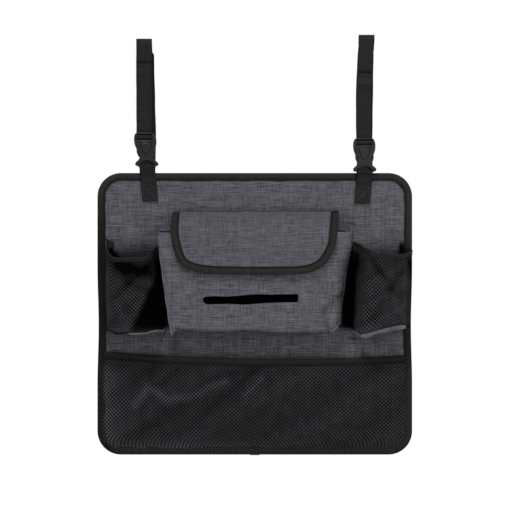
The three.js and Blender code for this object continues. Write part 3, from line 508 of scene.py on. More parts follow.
# %% Net, thread, lining and plastic materials
def grained(name, dark, light, scale, rough, bump, gloss=0.2, net=False):
    """A plain finish with a fine grain and broad stains. On a net it follows the flat net and reads the
    stored gloom and glints."""
    material, tree, shader = new_material(name)
    vector = cloth_map(tree) if net else place_map(tree)
    fine = stretched_noise(tree, vector, (scale,) * 3, 3.0, 0.6)
    broad = stretched_noise(tree, vector, (scale * 0.09,) * 3, 2.0)
    both = calc(tree, "MULTIPLY_ADD", broad, 0.6, calc(tree, "MULTIPLY", fine, 0.6))
    level = spread(tree, both, 0.35, 0.85)
    colour = mix_colour(tree, level, dark, light)
    shader["Specular IOR Level"].default_value = gloss
    if net:
        gloom = stored(tree, "gloom")
        colour = mix_colour(tree, gloom, colour, paint(3, 3, 4))
        colour = mix_colour(tree, stored(tree, "glint"), colour, paint(150, 152, 160))
        tree.links.new(spread(tree, gloom, 0, 1, gloss, 0.0), shader["Specular IOR Level"])
    tree.links.new(colour, shader["Base Color"])
    tree.links.new(spread(tree, level, 0, 1, rough + 0.08, rough - 0.08), shader["Roughness"])
    tree.links.new(relief(tree, fine, 0.4, bump), shader["Normal"])
    return material


# One black yarn in two copies: paler on the bottle nets as painted light, darker on the wide net as painted
# shade.
lit_net_yarn = grained("black net yarn with painted light", paint(20, 20, 22), paint(61, 61, 65), 900, 0.55, 0.15, 0.25, net=True)
shaded_wide_net_yarn = grained("wide net yarn in painted shade", paint(12, 12, 14), paint(47, 48, 52), 900, 0.5, 0.15, 0.25, net=True)
thread = grained("black thread", paint(16, 16, 16), paint(46, 46, 44), 3000, 0.6, 0.05)
strap_thread = grained("strap thread", paint(34, 34, 34), paint(82, 82, 78), 3000, 0.6, 0.05)
lining = grained("black lining", paint(22, 22, 23), paint(36, 36, 38), 1400, 0.9, 0.15)
closure = grained("hook and loop tape", paint(14, 14, 14), paint(34, 34, 35), 1600, 0.95, 0.4)
foam = grained("foam board", paint(205, 205, 198), paint(226, 226, 220), 700, 0.9, 0.2)
plastic = grained("black moulded plastic", paint(20, 20, 22), paint(33, 32, 35), 500, 0.4, 0.03, 0.45)
# Near black for the cloth's inner faces: a dark backing, and painted shade inside the pocket and behind the
# flap.
shaded_backing = grained("black cloth backing in painted shade", paint(8, 8, 9), paint(16, 16, 17), 1400, 0.95, 0.1)


def dress(obj, material, slot, *nodes):
    """Gives a piece its finish and its place on the part, and hides the measured solids that it stands for."""
    obj.data.materials.append(material)
    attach(obj, "root")
    if nodes:
        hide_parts(*nodes)
    return obj


for node, finish in {"panel_board": foam, "panel_lining": lining, "flap_hook_tape": closure,
                     "pocket_loop_tape": closure}.items():
    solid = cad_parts[node]
    solid.data.materials.clear()
    solid.data.materials.append(finish)
print("materials", len(bpy.data.materials))

# %% [markdown]
# The panel is a rounded rectangle that draws in a little at its middle, where the bottle pockets pull on it.
# Its outline is needed several times, so one function gives the half width at any height, and another walks
# round the whole edge.

# %% Panel outline
PANEL_HALF_WIDTH, PANEL_HALF_HEIGHT, CORNER = 200.0, 179.0, 30.0
# The depth of the solid face, and that of the edges that are sewn to it.
FACE_Y = -3.75
SEWN_Y = -4.05


def waist(z):
    """How far each side draws in at height z."""
    along = np.minimum(np.abs(z + 15) / 75, 1)
    return 1.5 * np.cos(along * math.pi / 2) ** 2


def half_width(z, inset=0.0):
    """Half the panel's width at height z, or that of a line that runs inset within its edge."""
    radius = CORNER - inset
    beyond = np.clip(np.abs(z) - (PANEL_HALF_HEIGHT - CORNER), 0, radius)
    return PANEL_HALF_WIDTH - inset - (radius - np.sqrt(radius ** 2 - beyond ** 2)) - waist(z)


def edge_walk(step):
    """Points (x, z) evenly round the edge, from the bottom middle towards the right."""
    straight = PANEL_HALF_HEIGHT - CORNER
    turn = np.linspace(0, math.pi / 2, 40)
    low_z = -straight - CORNER * np.sin(turn[::-1])
    side_z = np.linspace(-straight, straight, 160)[1:-1]
    z = np.concatenate([low_z, side_z, -low_z[::-1]])
    right = np.stack([half_width(z), z], axis=1)
    flat = np.linspace(0, right[0, 0], 60)[:-1]
    bottom = np.stack([flat, np.full_like(flat, -PANEL_HALF_HEIGHT)], axis=1)
    top = np.stack([flat[::-1], np.full_like(flat, PANEL_HALF_HEIGHT)], axis=1)
    half = np.concatenate([bottom, right, top])
    loop = np.concatenate([half, half[::-1][1:-1] * [-1, 1]])
    return resample(loop, step, closed=True)


print("edge length", len(edge_walk(1.0)), "mm")

# %% [markdown]
# The face cloth is stretched over the foam, so it is nearly flat. It dips at the seam of the flap and is a
# little uneven everywhere, which keeps a large plain surface from looking like card.

# %% Panel face
def panel_face():
    z = np.linspace(-173, 173, 150)
    u = np.linspace(-1, 1, 170)
    zz, uu = np.meshgrid(z, u, indexing="ij")
    xx = uu * half_width(zz, 6)
    seam = 0.55 * np.exp(-((zz - 132.6) / 1.3) ** 2) * ease(110 - np.abs(xx), 0, 8)
    y = np.minimum(FACE_Y - 0.3 * ripple(xx, zz, 110, 1.0) - 0.06 * ripple(xx, zz, 24, 4.0) + seam, -3.2)
    return make_grid("panel_face_cloth", np.stack([xx, y, zz], axis=2), cloth=np.stack([xx, zz], axis=2))


face_obj = dress(panel_face(), grey_cloth, "grey_cloth", "panel_face")
print("face cloth", len(face_obj.data.polygons), "faces")

# %% [markdown]
# Where the shade and the glints lie is read off the photograph, as lines drawn on the picture. A mask is 1
# on such a line and fades to both sides. The wide net lies close to the cloth behind it along a few folds:
# one mask says where, and the net's form, the shade on the cloth and the glints on the knots all use it.

# %% Masks of shade
def darken(obj, amount):
    """Stores how much of its light a piece loses, from 0 to 1 at every point."""
    store(obj, "gloom", np.clip(amount(*places_of(obj.data)), 0, 1))


def near_line(x, z, picture_line, width):
    """1 on a line drawn on the picture, fading to 0 over about twice the width on each side."""
    line_x, line_z = spot([p[0] for p in picture_line], [p[1] for p in picture_line], -10)
    nearest = np.full(np.shape(x), 1e9)
    for ax, az, bx, bz in zip(line_x[:-1], line_z[:-1], line_x[1:], line_z[1:]):
        dx, dz = bx - ax, bz - az
        along = np.clip(((x - ax) * dx + (z - az) * dz) / (dx ** 2 + dz ** 2), 0, 1)
        nearest = np.minimum(nearest, np.hypot(x - ax - along * dx, z - az - along * dz))
    return np.exp(-((nearest / width) ** 2))


def touching(x, z):
    """Where the wide net lies close to the cloth behind it: its left side, its foot and a few folds."""
    fold = [(135, 405), (148, 388), (157, 391), (167, 399), (184, 397), (200, 393), (209, 386), (226, 380)]
    long_fold = 0.62 * near_line(x, z, fold, 5.6)
    short_fold = 0.6 * near_line(x, z, [(246, 394), (262, 378)], 3.4)
    left_side = 0.9 * np.exp(-np.clip(x + 192, 0, None) / 16) * (1 - ease(z, -78, -60))
    foot = np.exp(-np.clip(z + 171, 0, None) / 7) * (1 - ease(x, -90, 60))
    return np.maximum.reduce([long_fold, short_fold, left_side, 0.75 * foot])


def face_shade(x, y, z):
    """The panel's cloth is dark behind the nets and inside the box pocket, and a little beside each seam."""
    bottles = ease(np.abs(x), 104, 109) * ease(z, -24, -14) * (1 - ease(z, 66, 100))
    box = ease(109 - np.abs(x), 0, 4) * ease(z, -12, -2) * (1 - ease(z, 98, 112))
    wide = (1 - ease(z, -66, -52)) * (0.98 - 0.98 * touching(x, z))
    corner = 0.4 * np.exp(-(((x + 104) / 8) ** 2)) * (1 - ease(z, -28, -20)) * ease(z, -80, -70)
    seam = 0.36 * np.exp(-(((z - 132.4) / 1.7) ** 2)) * ease(112 - np.abs(x), 0, 8)
    beside_flap = 0.3 * near_line(x, z, [(343, 216), (349, 234)], 7)
    right_pleat = 0.85 * near_line(x, z, [(402, 245), (403, 256)], 4)
    left_pleat = 0.8 * near_line(x, z, [(109, 249), (114, 256)], 4)
    return 0.98 * np.maximum(bottles, box) + wide + corner + seam + beside_flap + right_pleat + left_pleat


darken(face_obj, face_shade)
print("shade masks ready")

# %% [markdown]
# The edge is bound with a tape folded over it and sewn through. A real binding is plump along the fold, has a
# groove where the stitches pull it down, and ends in a thin free lip. One profile with these three features
# is swept round the edge, and each stitch makes its own small dimple in the groove.

# %% Tape profile and stitches
def binding_profile(front, back, width, plump):
    """(b, y, groove) points round a folded tape: b is the way in from the edge and y the depth, and groove
    says how much the stitches pull there."""
    middle = (front + back) / 2
    return np.array([
        (width, front + 0.85, 0.0), (width + 0.1, front + 0.1, 0.0), (width - 0.5, front - 0.15, 0.1),
        (width - 1.3, front + 0.05, 0.6), (width - 1.9, front + 0.35, 1.0), (width - 2.6, front + 0.05, 0.6),
        (width - 3.8, front - 0.45 * plump, 0.2), (width * 0.42, front - 0.75 * plump, 0.0),
        (width * 0.24, front - 0.6 * plump, 0.0), (width * 0.1, front, 0.0),
        (0.25, blend(front, middle, 0.45), 0.0), (0.0, middle, 0.0), (0.25, blend(back, middle, 0.45), 0.0),
        (width * 0.1, back + 0.02 * plump, 0.0), (width * 0.24, back + 0.12 * plump, 0.0),
        (width * 0.5, back + 0.12 * plump, 0.0), (width - 2.6, back, 0.3), (width - 1.9, back - 0.1, 1.0),
        (width - 1.3, back, 0.5), (width - 0.4, back, 0.1), (width, back - 0.3, 0.0),
        (width, back - 0.7, 0.0),
    ])


def stitch_pull(count, depth, groove):
    """How far every second row of points is pulled in at the groove, under a stitch."""
    return np.where(np.arange(count) % 2 == 0, depth, 0.0)[:, None] * groove


def stitch_dashes(line, out, length=2.7, gap=0.8, radius=0.22):
    """Short thread dashes along a line of points, each dipping into the cloth at both ends."""
    line, out = np.asarray(line, float), np.asarray(out, float)
    run = run_of(line)
    starts = np.arange(gap, run[-1] - length, length + gap)
    shares = np.array([0, 0.18, 0.5, 0.82, 1.0])
    swell = np.array([0.3, 0.95, 1.1, 0.95, 0.3]) * radius
    rise = np.array([-0.9, 0.25, 0.6, 0.25, -0.9]) * radius
    angle = np.linspace(0, 2 * math.pi, 7)[:-1]
    parts = []
    for start in starts:
        at = start + shares * length
        centre = np.stack([np.interp(at, run, line[:, k]) for k in range(3)], axis=1)
        face = unit(np.stack([np.interp(at, run, out[:, k]) for k in range(3)], axis=1))
        side = unit(np.cross(unit(np.gradient(centre, axis=0)), face))
        centre = centre + face * rise[:, None]
        ring = side[:, None] * np.cos(angle)[None, :, None] + face[:, None] * np.sin(angle)[None, :, None]
        points = centre[:, None] + ring * swell[:, None, None]
        faces = grid_faces(len(shares), len(angle), loop_columns=True)
        parts.append((points, faces, np.zeros((len(shares) * len(angle), 2))))
    return parts


print("tape profile points", len(binding_profile(0.0, 1.0, 10.0, 0.5)))


# %% Edge binding
BINDING_STEP = 1.55
BINDING_WIDTH = 10.0
STITCHED_AT = 8.1


def edge_tape(line, way_in):
    run = np.arange(len(line)) * BINDING_STEP
    profile = binding_profile(-4.5, -0.78, BINDING_WIDTH, 1.0)
    wobble = 0.22 * np.sin(run / 9.1) + 0.15 * np.sin(run / 3.7 + 1)
    b = profile[:, 0] + wobble[:, None] * ease(profile[:, 0], 4, 10)
    pull = stitch_pull(len(line), 0.16, profile[:, 2])
    y = profile[:, 1] - pull * np.sign(profile[:, 1] + 2.6) + 0.08 * np.sin(run / 6.3)[:, None]
    points = np.stack([line[:, :1] + way_in[:, :1] * b, y, line[:, 1:] + way_in[:, 1:] * b], axis=2)
    return points, grid_faces(len(line), len(profile), loop_rows=True), band_map(profile[:, 0], run)


def edge_lap():
    """The short piece at the bottom middle, where the tape's end lies over its start."""
    x = np.linspace(-6, 6, 9)
    profile = binding_profile(-5.1, -0.45, BINDING_WIDTH, 0.8)
    b = profile[:, 0] - 0.7 * (profile[:, 0] < 5)
    points = np.stack(np.broadcast_arrays(x[:, None], profile[:, 1], b - PANEL_HALF_HEIGHT), axis=2)
    return points, grid_faces(len(x), len(b)), band_map(b, x)


def edge_shade(x, y, z):
    """In the photograph the binding is darker at its left side, its foot and its lower right side."""
    left_side = 0.6 * ease(-x, 176, 192) * (1 - ease(z, 100, 165))
    foot = 0.4 * (1 - ease(z, -172, -160))
    right_side = 0.25 * ease(x, 185, 192) * (1 - ease(z, 60, 100))
    return left_side + foot + right_side


edge_line = edge_walk(BINDING_STEP)
edge_in = inward(edge_line)
binding_obj = join_meshes("edge_binding_tape", [edge_tape(edge_line, edge_in), edge_lap()])
darken(binding_obj, edge_shade)
dress(binding_obj, binding_tape, "black_tape", "edge_binding")
stitch_line = edge_line + edge_in * STITCHED_AT
edge_path = np.stack([stitch_line[:, 0], np.full(len(stitch_line), -4.33), stitch_line[:, 1]], axis=1)
edge_out = np.tile([0.0, -1.0, 0.0], (len(edge_path), 1))
dress(join_meshes("edge_stitches", stitch_dashes(edge_path, edge_out)), thread, "black_tape")
print("binding points", len(edge_line))

# %% [markdown]
# The net is knitted in diamonds. Real strands are what makes it look like net up close, so every diamond is
# built: a ring from the diamond's edge to a rounded hole, shared with its neighbours. A modifier then gives
# the flat rings their thickness. The formula of the pocket's surface puts each point in its place.

# %% Net maker
HALF_CELL = 2.4


def net_mesh(name, surface, width, height, across=1.02, corner=1.25):
    """surface(s, t) gives the place of a point of the flat net, s from -width/2 and t from 0. A hole reaches
    across towards its four strands and corner towards its four knots."""
    index, flat, faces = {}, [], []

    def vertex(key, s, t):
        if key not in index:
            index[key] = len(flat)
            flat.append((s, t))
        return index[key]

    columns, rows = int(width / HALF_CELL), int(height / HALF_CELL)
    step_s, step_t = width / columns, height / rows
    ring = [(2, 0), (1, 1), (0, 2), (-1, 1), (-2, 0), (-1, -1), (0, -2), (1, -1)]
    reach = [corner, across] * 4
    for j in range(1, rows):
        for i in range(1, columns):
            if (i + j) % 2:
                continue
            s, t = i * step_s - width / 2, j * step_t
            outer, inner = [], []
            for (a, b), r in zip(ring, reach):
                outer.append(vertex((2 * i + a, 2 * j + b), s + a / 2 * step_s, t + b / 2 * step_t))
                norm = math.hypot(a, b)
                inner.append(len(flat))
                flat.append((s + a / norm * r, t + b / norm * r))
            for k in range(8):
                n = (k + 1) % 8
                faces.append((outer[k], outer[n], inner[n], inner[k]))
    flat = np.array(flat)
    obj = make_object(name, surface(flat[:, 0], flat[:, 1]), faces, flat)
    knot = np.zeros(len(flat), np.float32)
    knot[[index[key] for key in index if key[0] % 2 == 0 and key[1] % 2 == 0]] = 1
    store(obj, "knot", knot)
    return thicken(obj, 0.55, 0.0)


def glint(obj, amount):
    """Stores how much light each knot of a net catches, from 0 to 1. The strands between them catch none."""
    knot = np.zeros(len(obj.data.vertices), np.float32)
    obj.data.attributes["knot"].data.foreach_get("value", knot)
    store(obj, "glint", knot * np.clip(amount(*places_of(obj.data)), 0, 1))


print("cell", HALF_CELL * 2, "mm")

# %% [markdown]
# The wide net pocket is sewn under the binding at both sides and along the bottom, and its mouth hangs a
# little open. Its slack runs in shallow creases that climb to the right.

# %% Bottom pocket
NET_INSET = 7.0
NET_BOTTOM = NET_INSET - PANEL_HALF_HEIGHT


def mouth_z(u):
    """The height of the mouth, which sags between its two ends."""
    return blend(-48.5, -53.5, u) - 6.6 * 4 * u * (1 - u)


def slack_waves(x, z):
    """The narrow and the broad waves in which the slack runs, each from -1 to 1."""
    climb = z - 0.62 * x
    narrow = np.sin(climb / 5.6 + 1.1 * np.sin(x / 47))
    broad = np.sin(climb / 12.5 + 0.6 * np.sin(x / 60) + 1.0)
    return narrow, broad


def bottom_surface(u, v):
    """A place on the net: u from the left seam to the right, v from the bottom seam to the mouth."""
    z = blend(NET_BOTTOM, mouth_z(u), v)
    x = (2 * u - 1) * half_width(z, NET_INSET)
    free = np.sin(math.pi * np.clip(u, 0, 1)) ** 0.7
    rise = np.sin(np.minimum(v * 1.1, 1) * math.pi / 2)
    fade = np.sqrt(np.sin(math.pi * np.clip(v / 0.93, 0, 1)))
    narrow, broad = slack_waves(x, z)
    fold = -1.3 * narrow * (0.5 + 0.5 * np.sin(x / 39 + z / 25)) - 1.5 * broad + 0.5 * ripple(x, z, 22, 2.0)
    near_edge = 1 - ease(np.minimum(half_width(z, NET_INSET) - np.abs(x), z - NET_BOTTOM), 2.5, 7)
    stand = 7.0 * rise * (1 - 0.6 * touching(x, z))
    y = -4.9 - np.maximum(stand + fold * fade, 0.5 * rise) * free + near_edge * 0.75
    return np.stack([x, y, z], axis=-1)


def bottom_net():
    width, height = 386.0, 121.0
    place = lambda s, t: bottom_surface(np.clip(s / width + 0.5, 0, 1), np.clip(t / height, 0, 1))
    return net_mesh("bottom_pocket_mesh", place, width, height)


bottom_obj = dress(bottom_net(), shaded_wide_net_yarn, "black_net", "bottom_pocket_net")


def wide_net_shade(x, y, z):
    """The backs of the waves and two deep folds are darker. Where a knot glints, its strands look dark."""
    narrow, broad = slack_waves(x, z)
    waves = 0.1 * (1 + broad) + 0.08 * (1 + narrow) * ease(-x, -60, 60)
    upper_fold = near_line(x, z, [(150, 392), (170, 376), (184, 362)], 5.0)
    lower_fold = near_line(x, z, [(206, 410), (240, 384), (262, 364)], 4.5)
    return waves + 0.22 * np.maximum(upper_fold, lower_fold) + 0.4 * touching(x, z) + 0.06


darken(bottom_obj, wide_net_shade)
glint(bottom_obj, lambda x, y, z: 0.62 * touching(x, z) + 0.02)
print("bottom net faces", len(bottom_obj.data.polygons))

# %% [markdown]
# The same folded profile binds a pocket's mouth. It follows three things at each point of the mouth: the
# line itself, the way down the cloth and the way out of the pocket.

# %% Bottom pocket mouth binding
def fold_tape(name, edge, down, out, width, front, plump):
    """A tape folded over a mouth, which stands front away from the cloth on both sides."""
    profile = binding_profile(0.0, 1.0, width, plump)
    b = profile[:, 0]
    h = front - profile[:, 1] * (2 * front)
    h = h - stitch_pull(len(edge), 0.12, profile[:, 2]) * np.sign(h)
    points = edge[:, None] + down[:, None] * (b[None, :, None] - 1.0) + out[:, None] * h[:, :, None]
    return make_grid(name, points, cloth=band_map(b, run_of(edge)))


def mouth_frame(surface, u):
    """The mouth line of a surface, with its directions down the cloth and square to it."""
    top = surface(u, np.full_like(u, 1.0))
    down = unit(surface(u, np.full_like(u, 0.94)) - top)
    return top, down, unit(np.cross(down, unit(np.gradient(top, axis=0))))


edge, down, out = mouth_frame(bottom_surface, np.linspace(0.004, 0.996, 250))
out *= np.sign(-out[:, 1:2])
mouth_tape = fold_tape("bottom_mouth_tape", edge, down, out, BINDING_WIDTH, 0.95, 0.5)
# The mouth tape is a darker copy of the binding tape, which is painted shade.
dress(mouth_tape, shaded_pocket_tape, "black_tape", "bottom_pocket_binding")
path = edge + down * 7.2 + out * 0.95
dress(join_meshes("bottom_mouth_stitches", stitch_dashes(path, out)), thread, "black_tape")
print("mouth tape done")

# %% [markdown]
# The box pocket's front is drawn from the photograph's outline: a straight left edge that ends in a small
# dog-ear, a softly rounded right edge, and a bottom edge that waves. The points between the edges are filled
# in, and the cloth bellies forward a little.

# %% Box pocket outline
LEFT_Y = [230, 245, 262, 290, 318, 330, 333]
LEFT_X = [157.4, 158.2, 160.2, 164.2, 168.1, 170.2, 170.8]
RIGHT_Y = [230, 244, 265, 292.5, 311, 323, 328, 333]
RIGHT_X = [354.2, 352.2, 347.6, 343.9, 341.1, 339, 337, 332.5]
LOW_X = [168, 170.8, 176, 190, 207, 223, 240, 257, 283, 323, 331, 338, 341]
LOW_Y = [332.6, 332.6, 329.4, 330, 331.6, 331.8, 330.4, 330.9, 332.2, 332.4, 332.6, 330.5, 327]
POCKET_Y = -46.0
POCKET_HEIGHT = 125


def pocket_outline(u, v):
    """A place on the front as drawn, and the two side edges at its height."""
    low_z = spot(0, np.interp(blend(168, 341, u), LOW_X, LOW_Y), POCKET_Y)[1]
    top_z = spot(0, blend(232.5, 231.8, u), POCKET_Y)[1]
    z = blend(low_z, top_z, v)
    py = picture_y(z, POCKET_Y)
    left = spot(np.interp(py, LEFT_Y, LEFT_X), 0, POCKET_Y)[0]
    right = spot(np.interp(py, RIGHT_Y, RIGHT_X), 0, POCKET_Y)[0]
    return blend(left, right, u), z, left, right


def pocket_front_surface(u, v):
    """A place on the front: u from the left edge to the right, v from the bottom edge to the mouth."""
    x, z, left, right = pocket_outline(u, v)
    depth = blend(34.0, 40.0, v) - SEWN_Y
    belly = 2.6 * np.sin(math.pi * np.clip(u, 0, 1)) ** 0.6 * (1 - 0.55 * v)
    from_left, from_right = x - left, right - x
    turned = rounded(from_right, 9, 7.0) + rounded(from_left, 2.4, 2.2) + rounded(v * POCKET_HEIGHT, 4, 3.2)
    seam = 0.8 * np.exp(-((from_left - 3.6) / 1.1) ** 2) * ease(v, 0.02, 0.1)
    waves = 0.55 * ripple(x, z, 60, 3.0) + 0.9 * np.sin(x / 13) * np.exp(-v * 6)
    diagonal = 1.6 * np.exp(-((x - 96 + (z - 20) * 0.5) / 6) ** 2)
    diagonal = diagonal * ease(v, 0.05, 0.3) * (1 - ease(v, 0.45, 0.7))
    ear_x, ear_z = spot(331.5, 324.5, POCKET_Y)
    ear = 4.2 * np.exp(-((x - ear_x) / 6.0) ** 2 - ((z - ear_z) / 9.0) ** 2)
    pinch_x, pinch_z = spot(325.4, 325.0, POCKET_Y)
    pinch = 2.4 * np.exp(-((x - pinch_x - 0.2 * (z - pinch_z)) / 1.9) ** 2 - ((z - pinch_z) / 10.0) ** 2)
    y = turned + seam - depth - belly - waves * ease(from_left, 0, 14) - diagonal - ear + pinch
    return np.stack([x, y, z], axis=-1)


def pocket_front():
    u, v = np.meshgrid(np.linspace(0, 1, 190), np.linspace(0, 1, 100))
    points = pocket_front_surface(u, v)
    return make_grid("tissue_pocket_cloth", points, cloth=points[:, :, [0, 2]])


front_obj = pocket_front()
front_obj.data.materials.append(grey_cloth)
thicken(front_obj, 0.8, -1.0, inside=shaded_backing)
print("pocket front", len(front_obj.data.polygons), "faces")

# %% [markdown]
# The slot is cut with a hot knife, so its edge is clean: round at the left and square at the right. The
# cloth is first given its thickness, and a prism of the slot's outline is then taken away from it.

# %% Tissue slot
def apply_modifiers(obj):
    """Makes the shape that the modifiers give into the object's own mesh."""
    seen = bpy.context.evaluated_depsgraph_get()
    seen.update()
    old = obj.data
    obj.data = bpy.data.meshes.new_from_object(obj.evaluated_get(seen))
    obj.modifiers.clear()
    bpy.data.meshes.remove(old)


def slot_cutter():
    """A block with the slot's outline, read off the picture, to be cut out of the front."""
    corners = [(203.4, 301.8), (203.1, 299.5), (203.7, 297.6), (205.2, 296.7), (214, 296.3), (224, 296.9),
               (236, 296.0), (248, 294.9), (260, 294.2), (272, 294.7), (285, 294.3), (297.2, 294.2),
               (298.2, 295.0), (298.3, 301.4), (297.3, 302.1), (280, 302.5), (262, 303.4), (248, 304.4),
               (242, 304.6), (228, 303.9), (214, 304.3), (207, 304.2), (204.6, 303.4)]
    x, z = spot([c[0] for c in corners], [c[1] for c in corners], POCKET_Y)
    count = len(corners)
    points = [(a, y, b) for y in (-60.0, -30.0) for a, b in zip(x, z)]
    faces = [list(range(count)), list(range(2 * count - 1, count - 1, -1))]
    faces += [[k, k + count, (k + 1) % count + count, (k + 1) % count] for k in range(count)]
    return make_object("slot_cutter", points, [face[::-1] for face in faces])


cutter = slot_cutter()
knife = front_obj.modifiers.new("slot", "BOOLEAN")
knife.operation, knife.object, knife.solver = "DIFFERENCE", cutter, "EXACT"
apply_modifiers(front_obj)
bpy.data.objects.remove(cutter)
for polygon in front_obj.data.polygons:
    polygon.use_smooth = True
print("cut front", len(front_obj.data.polygons), "faces")

# %% [markdown]
# The front's rounded right edge turns away from the light, and small creases run from its lower right
# corner. They are drawn as soft lines of shade, each with its strength and its width in millimetres.

# %% Shade on the pocket's front
FRONT_SHADES = [
    (0.42, list(zip(RIGHT_X, RIGHT_Y))[:5], 5.5),
    (0.35, [(345, 262), (342, 300)], 6),
    (0.3, [(324, 310), (326, 322), (328, 331)], 2.6),
    (0.2, [(337, 312), (336.5, 326)], 2.0),
    (0.3, [(341, 293), (333, 300), (323, 310)], 3.2),
]


def front_shade(x, y, z):
    return sum(strength * near_line(x, z, line, width) for strength, line, width in FRONT_SHADES)


darken(front_obj, front_shade)
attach(front_obj, "root")
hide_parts("tissue_pocket_front")
print("front finishes", [finish.name for finish in front_obj.data.materials])

# %% [markdown]
# One strip of the same cloth makes the pocket's two sides and its bottom. It runs from the seam on the panel
# to the front's edge, and its middle sinks inwards, as a gusset does when the pocket is empty.

# %% Box pocket gusset
def gusset():
    n_side, n_low = 60, 108
    side = np.linspace(1, 0, n_side)
    low = np.linspace(0, 1, n_low + 2)[1:-1]
    u = np.concatenate([np.zeros(n_side), low, np.ones(n_side)])
    v = np.concatenate([side, np.zeros(n_low), side[::-1]])
    front = pocket_front_surface(u, v)
    front[:, 1] += 0.5
    seam_half = 110.0
    z_top, z_low = front[0, 2], -16.5
    back_x = blend(-seam_half, seam_half, u)
    back_z = blend(z_low, z_top, v)
    soft = np.clip((np.abs(back_x) - (seam_half - 9)) / 9, 0, 1) * np.clip((z_low + 9 - back_z) / 9, 0, 1)
    back_z = back_z + 4.0 * soft
    back = np.stack([back_x, np.full_like(back_x, SEWN_Y), back_z], axis=1)
    share = np.linspace(0, 1, 22)[:, None, None]
    points = blend(back[None], front[None], share)
    middle = np.sin(math.pi * share[:, :, 0])
    sideways = np.concatenate([np.ones(n_side), np.zeros(n_low), -np.ones(n_side)])
    upwards = np.concatenate([np.zeros(n_side), np.ones(n_low), np.zeros(n_side)])
    sag = 3.4 + 1.5 * ripple(points[:, :, 2], points[:, :, 1], 40, 5.0)
    points[:, :, 0] += middle * sideways * sag
    points[:, :, 2] += middle * upwards * sag * 0.6
    return make_grid("pocket_gusset_cloth", points)


gusset_obj = dress(gusset(), grey_cloth, "grey_cloth", "tissue_pocket_gusset")
thicken(gusset_obj, 0.8, 0.0, inside=shaded_backing)
print("gusset", len(gusset_obj.data.polygons), "faces")

# %% [markdown]
# The left edge is a seam that was turned and pressed into a thin roll, painted paler along its length as a
# painted highlight, and its lower end sticks out as a small pointed ear. At the lower right corner a shorter
# roll makes a rounded ear, its painted highlight dimmed. Both are swept along a line like a tube, with a radius
# that changes on the way.

# %% Seam roll and corner ear
def tube(name, line, radius, sides=10):
    """A soft roll along a line of points, with a radius for each point."""
    ahead = unit(np.gradient(line, axis=0))
    side = unit(np.cross(ahead, np.tile([0.0, -1.0, 0.0], (len(line), 1))))
    face = np.cross(side, ahead)
    angle = np.linspace(0, 2 * math.pi, sides + 1)[:-1]
    ring = side[:, None] * np.cos(angle)[None, :, None] + face[:, None] * np.sin(angle)[None, :, None]
    points = line[:, None] + ring * radius[:, None, None]
    return make_grid(name, points, loop_columns=True, cloth=band_map(angle * 0.8, run_of(line)))


def left_roll():
    v = np.linspace(0.97, 0.0, 90)
    line = pocket_front_surface(np.zeros_like(v), v)
    line[:, 0] += 0.5
    line[:, 1] -= 0.2
    tip = line[-1] + np.array([[0.7, -0.6, -1.2], [1.5, -0.8, -2.4], [1.9, -0.6, -3.4]])
    line = np.concatenate([line, tip])
    line[:, 0] += 0.25 * np.sin(line[:, 2] / 4.1)
    radius = 0.85 * blend(0.55, 1.0, ease(np.arange(len(line)), 0, 60))
    # The last six points are the ear, which swells and then comes to a point.
    radius[-6:] = [1.3, 1.6, 1.7, 1.5, 1.0, 0.2]
    return tube("pocket_left_roll", line, radius)


def right_ear():
    """The gusset's corner pushes the front's lower right corner out into a small rounded ear."""
    walk = smooth_line([(0.958, 0.03), (0.972, 0.008), (0.988, 0.0), (0.999, 0.012), (0.997, 0.04)], 8)
    line = pocket_front_surface(walk[:, 0], walk[:, 1])
    line[:, 1] -= 0.35
    radius = 1.35 * np.sin(np.linspace(0.1, math.pi - 0.1, len(line))) + 0.08
    return tube("pocket_right_ear", line, radius)


# Paler than the panel's cloth: a painted highlight along the rolls.
highlit_roll_cloth = melange_cloth("seam roll with painted highlight", paint(92, 92, 101), paint(176, 176, 188), 0.6)
dress(left_roll(), highlit_roll_cloth, "grey_cloth")
ear_obj = right_ear()
# Painted shade dims the ear's painted highlight.
darken(ear_obj, lambda x, y, z: np.full_like(x, 0.34))
dress(ear_obj, highlit_roll_cloth, "grey_cloth")
print("left roll and right ear done")

# %% [markdown]
# A narrow black facing is sewn inside the pocket's mouth. It stands a little above the grey cloth, so it
# shows as a thin dark line beside the flap.

# %% Mouth facing
def mouth_facing():
    u = np.linspace(0.012, 0.955, 120)
    rows = []
    for k in (-9.0, -4.0, 0.0, 1.1, 1.9):
        row = pocket_front_surface(u, np.full_like(u, min(1 + k / POCKET_HEIGHT, 1)))
        row[:, 1] += 1.35 - 0.25 * max(k, 0)
        row[:, 2] += max(k, 0)
        rows.append(row)
    return thicken(make_grid("pocket_mouth_facing", np.stack(rows)), 0.5, 0.0)


dress(mouth_facing(), hem_tape, "black_tape")
print("facing done")

# %% [markdown]
# The flap is sewn to the panel along its top, rolls out over the pocket's mouth and hangs in front of it. A
# side view gives its line, and a point of the flap is then a place across it and a distance down the cloth.

# %% Flap line
flap_line = resample(smooth_line([
    (-4.3, 131.0), (-6.4, 131.0), (-8.4, 129.0), (-18.2, 125.2), (-33.0, 117.0), (-44.2, 108.0), (-47.6, 99.5),
    (-48.6, 86.0), (-49.0, 69.0), (-49.4, 49.9),
], 12), 0.5)
flap_run = run_of(flap_line)
FLAP_LENGTH = flap_run[-1]


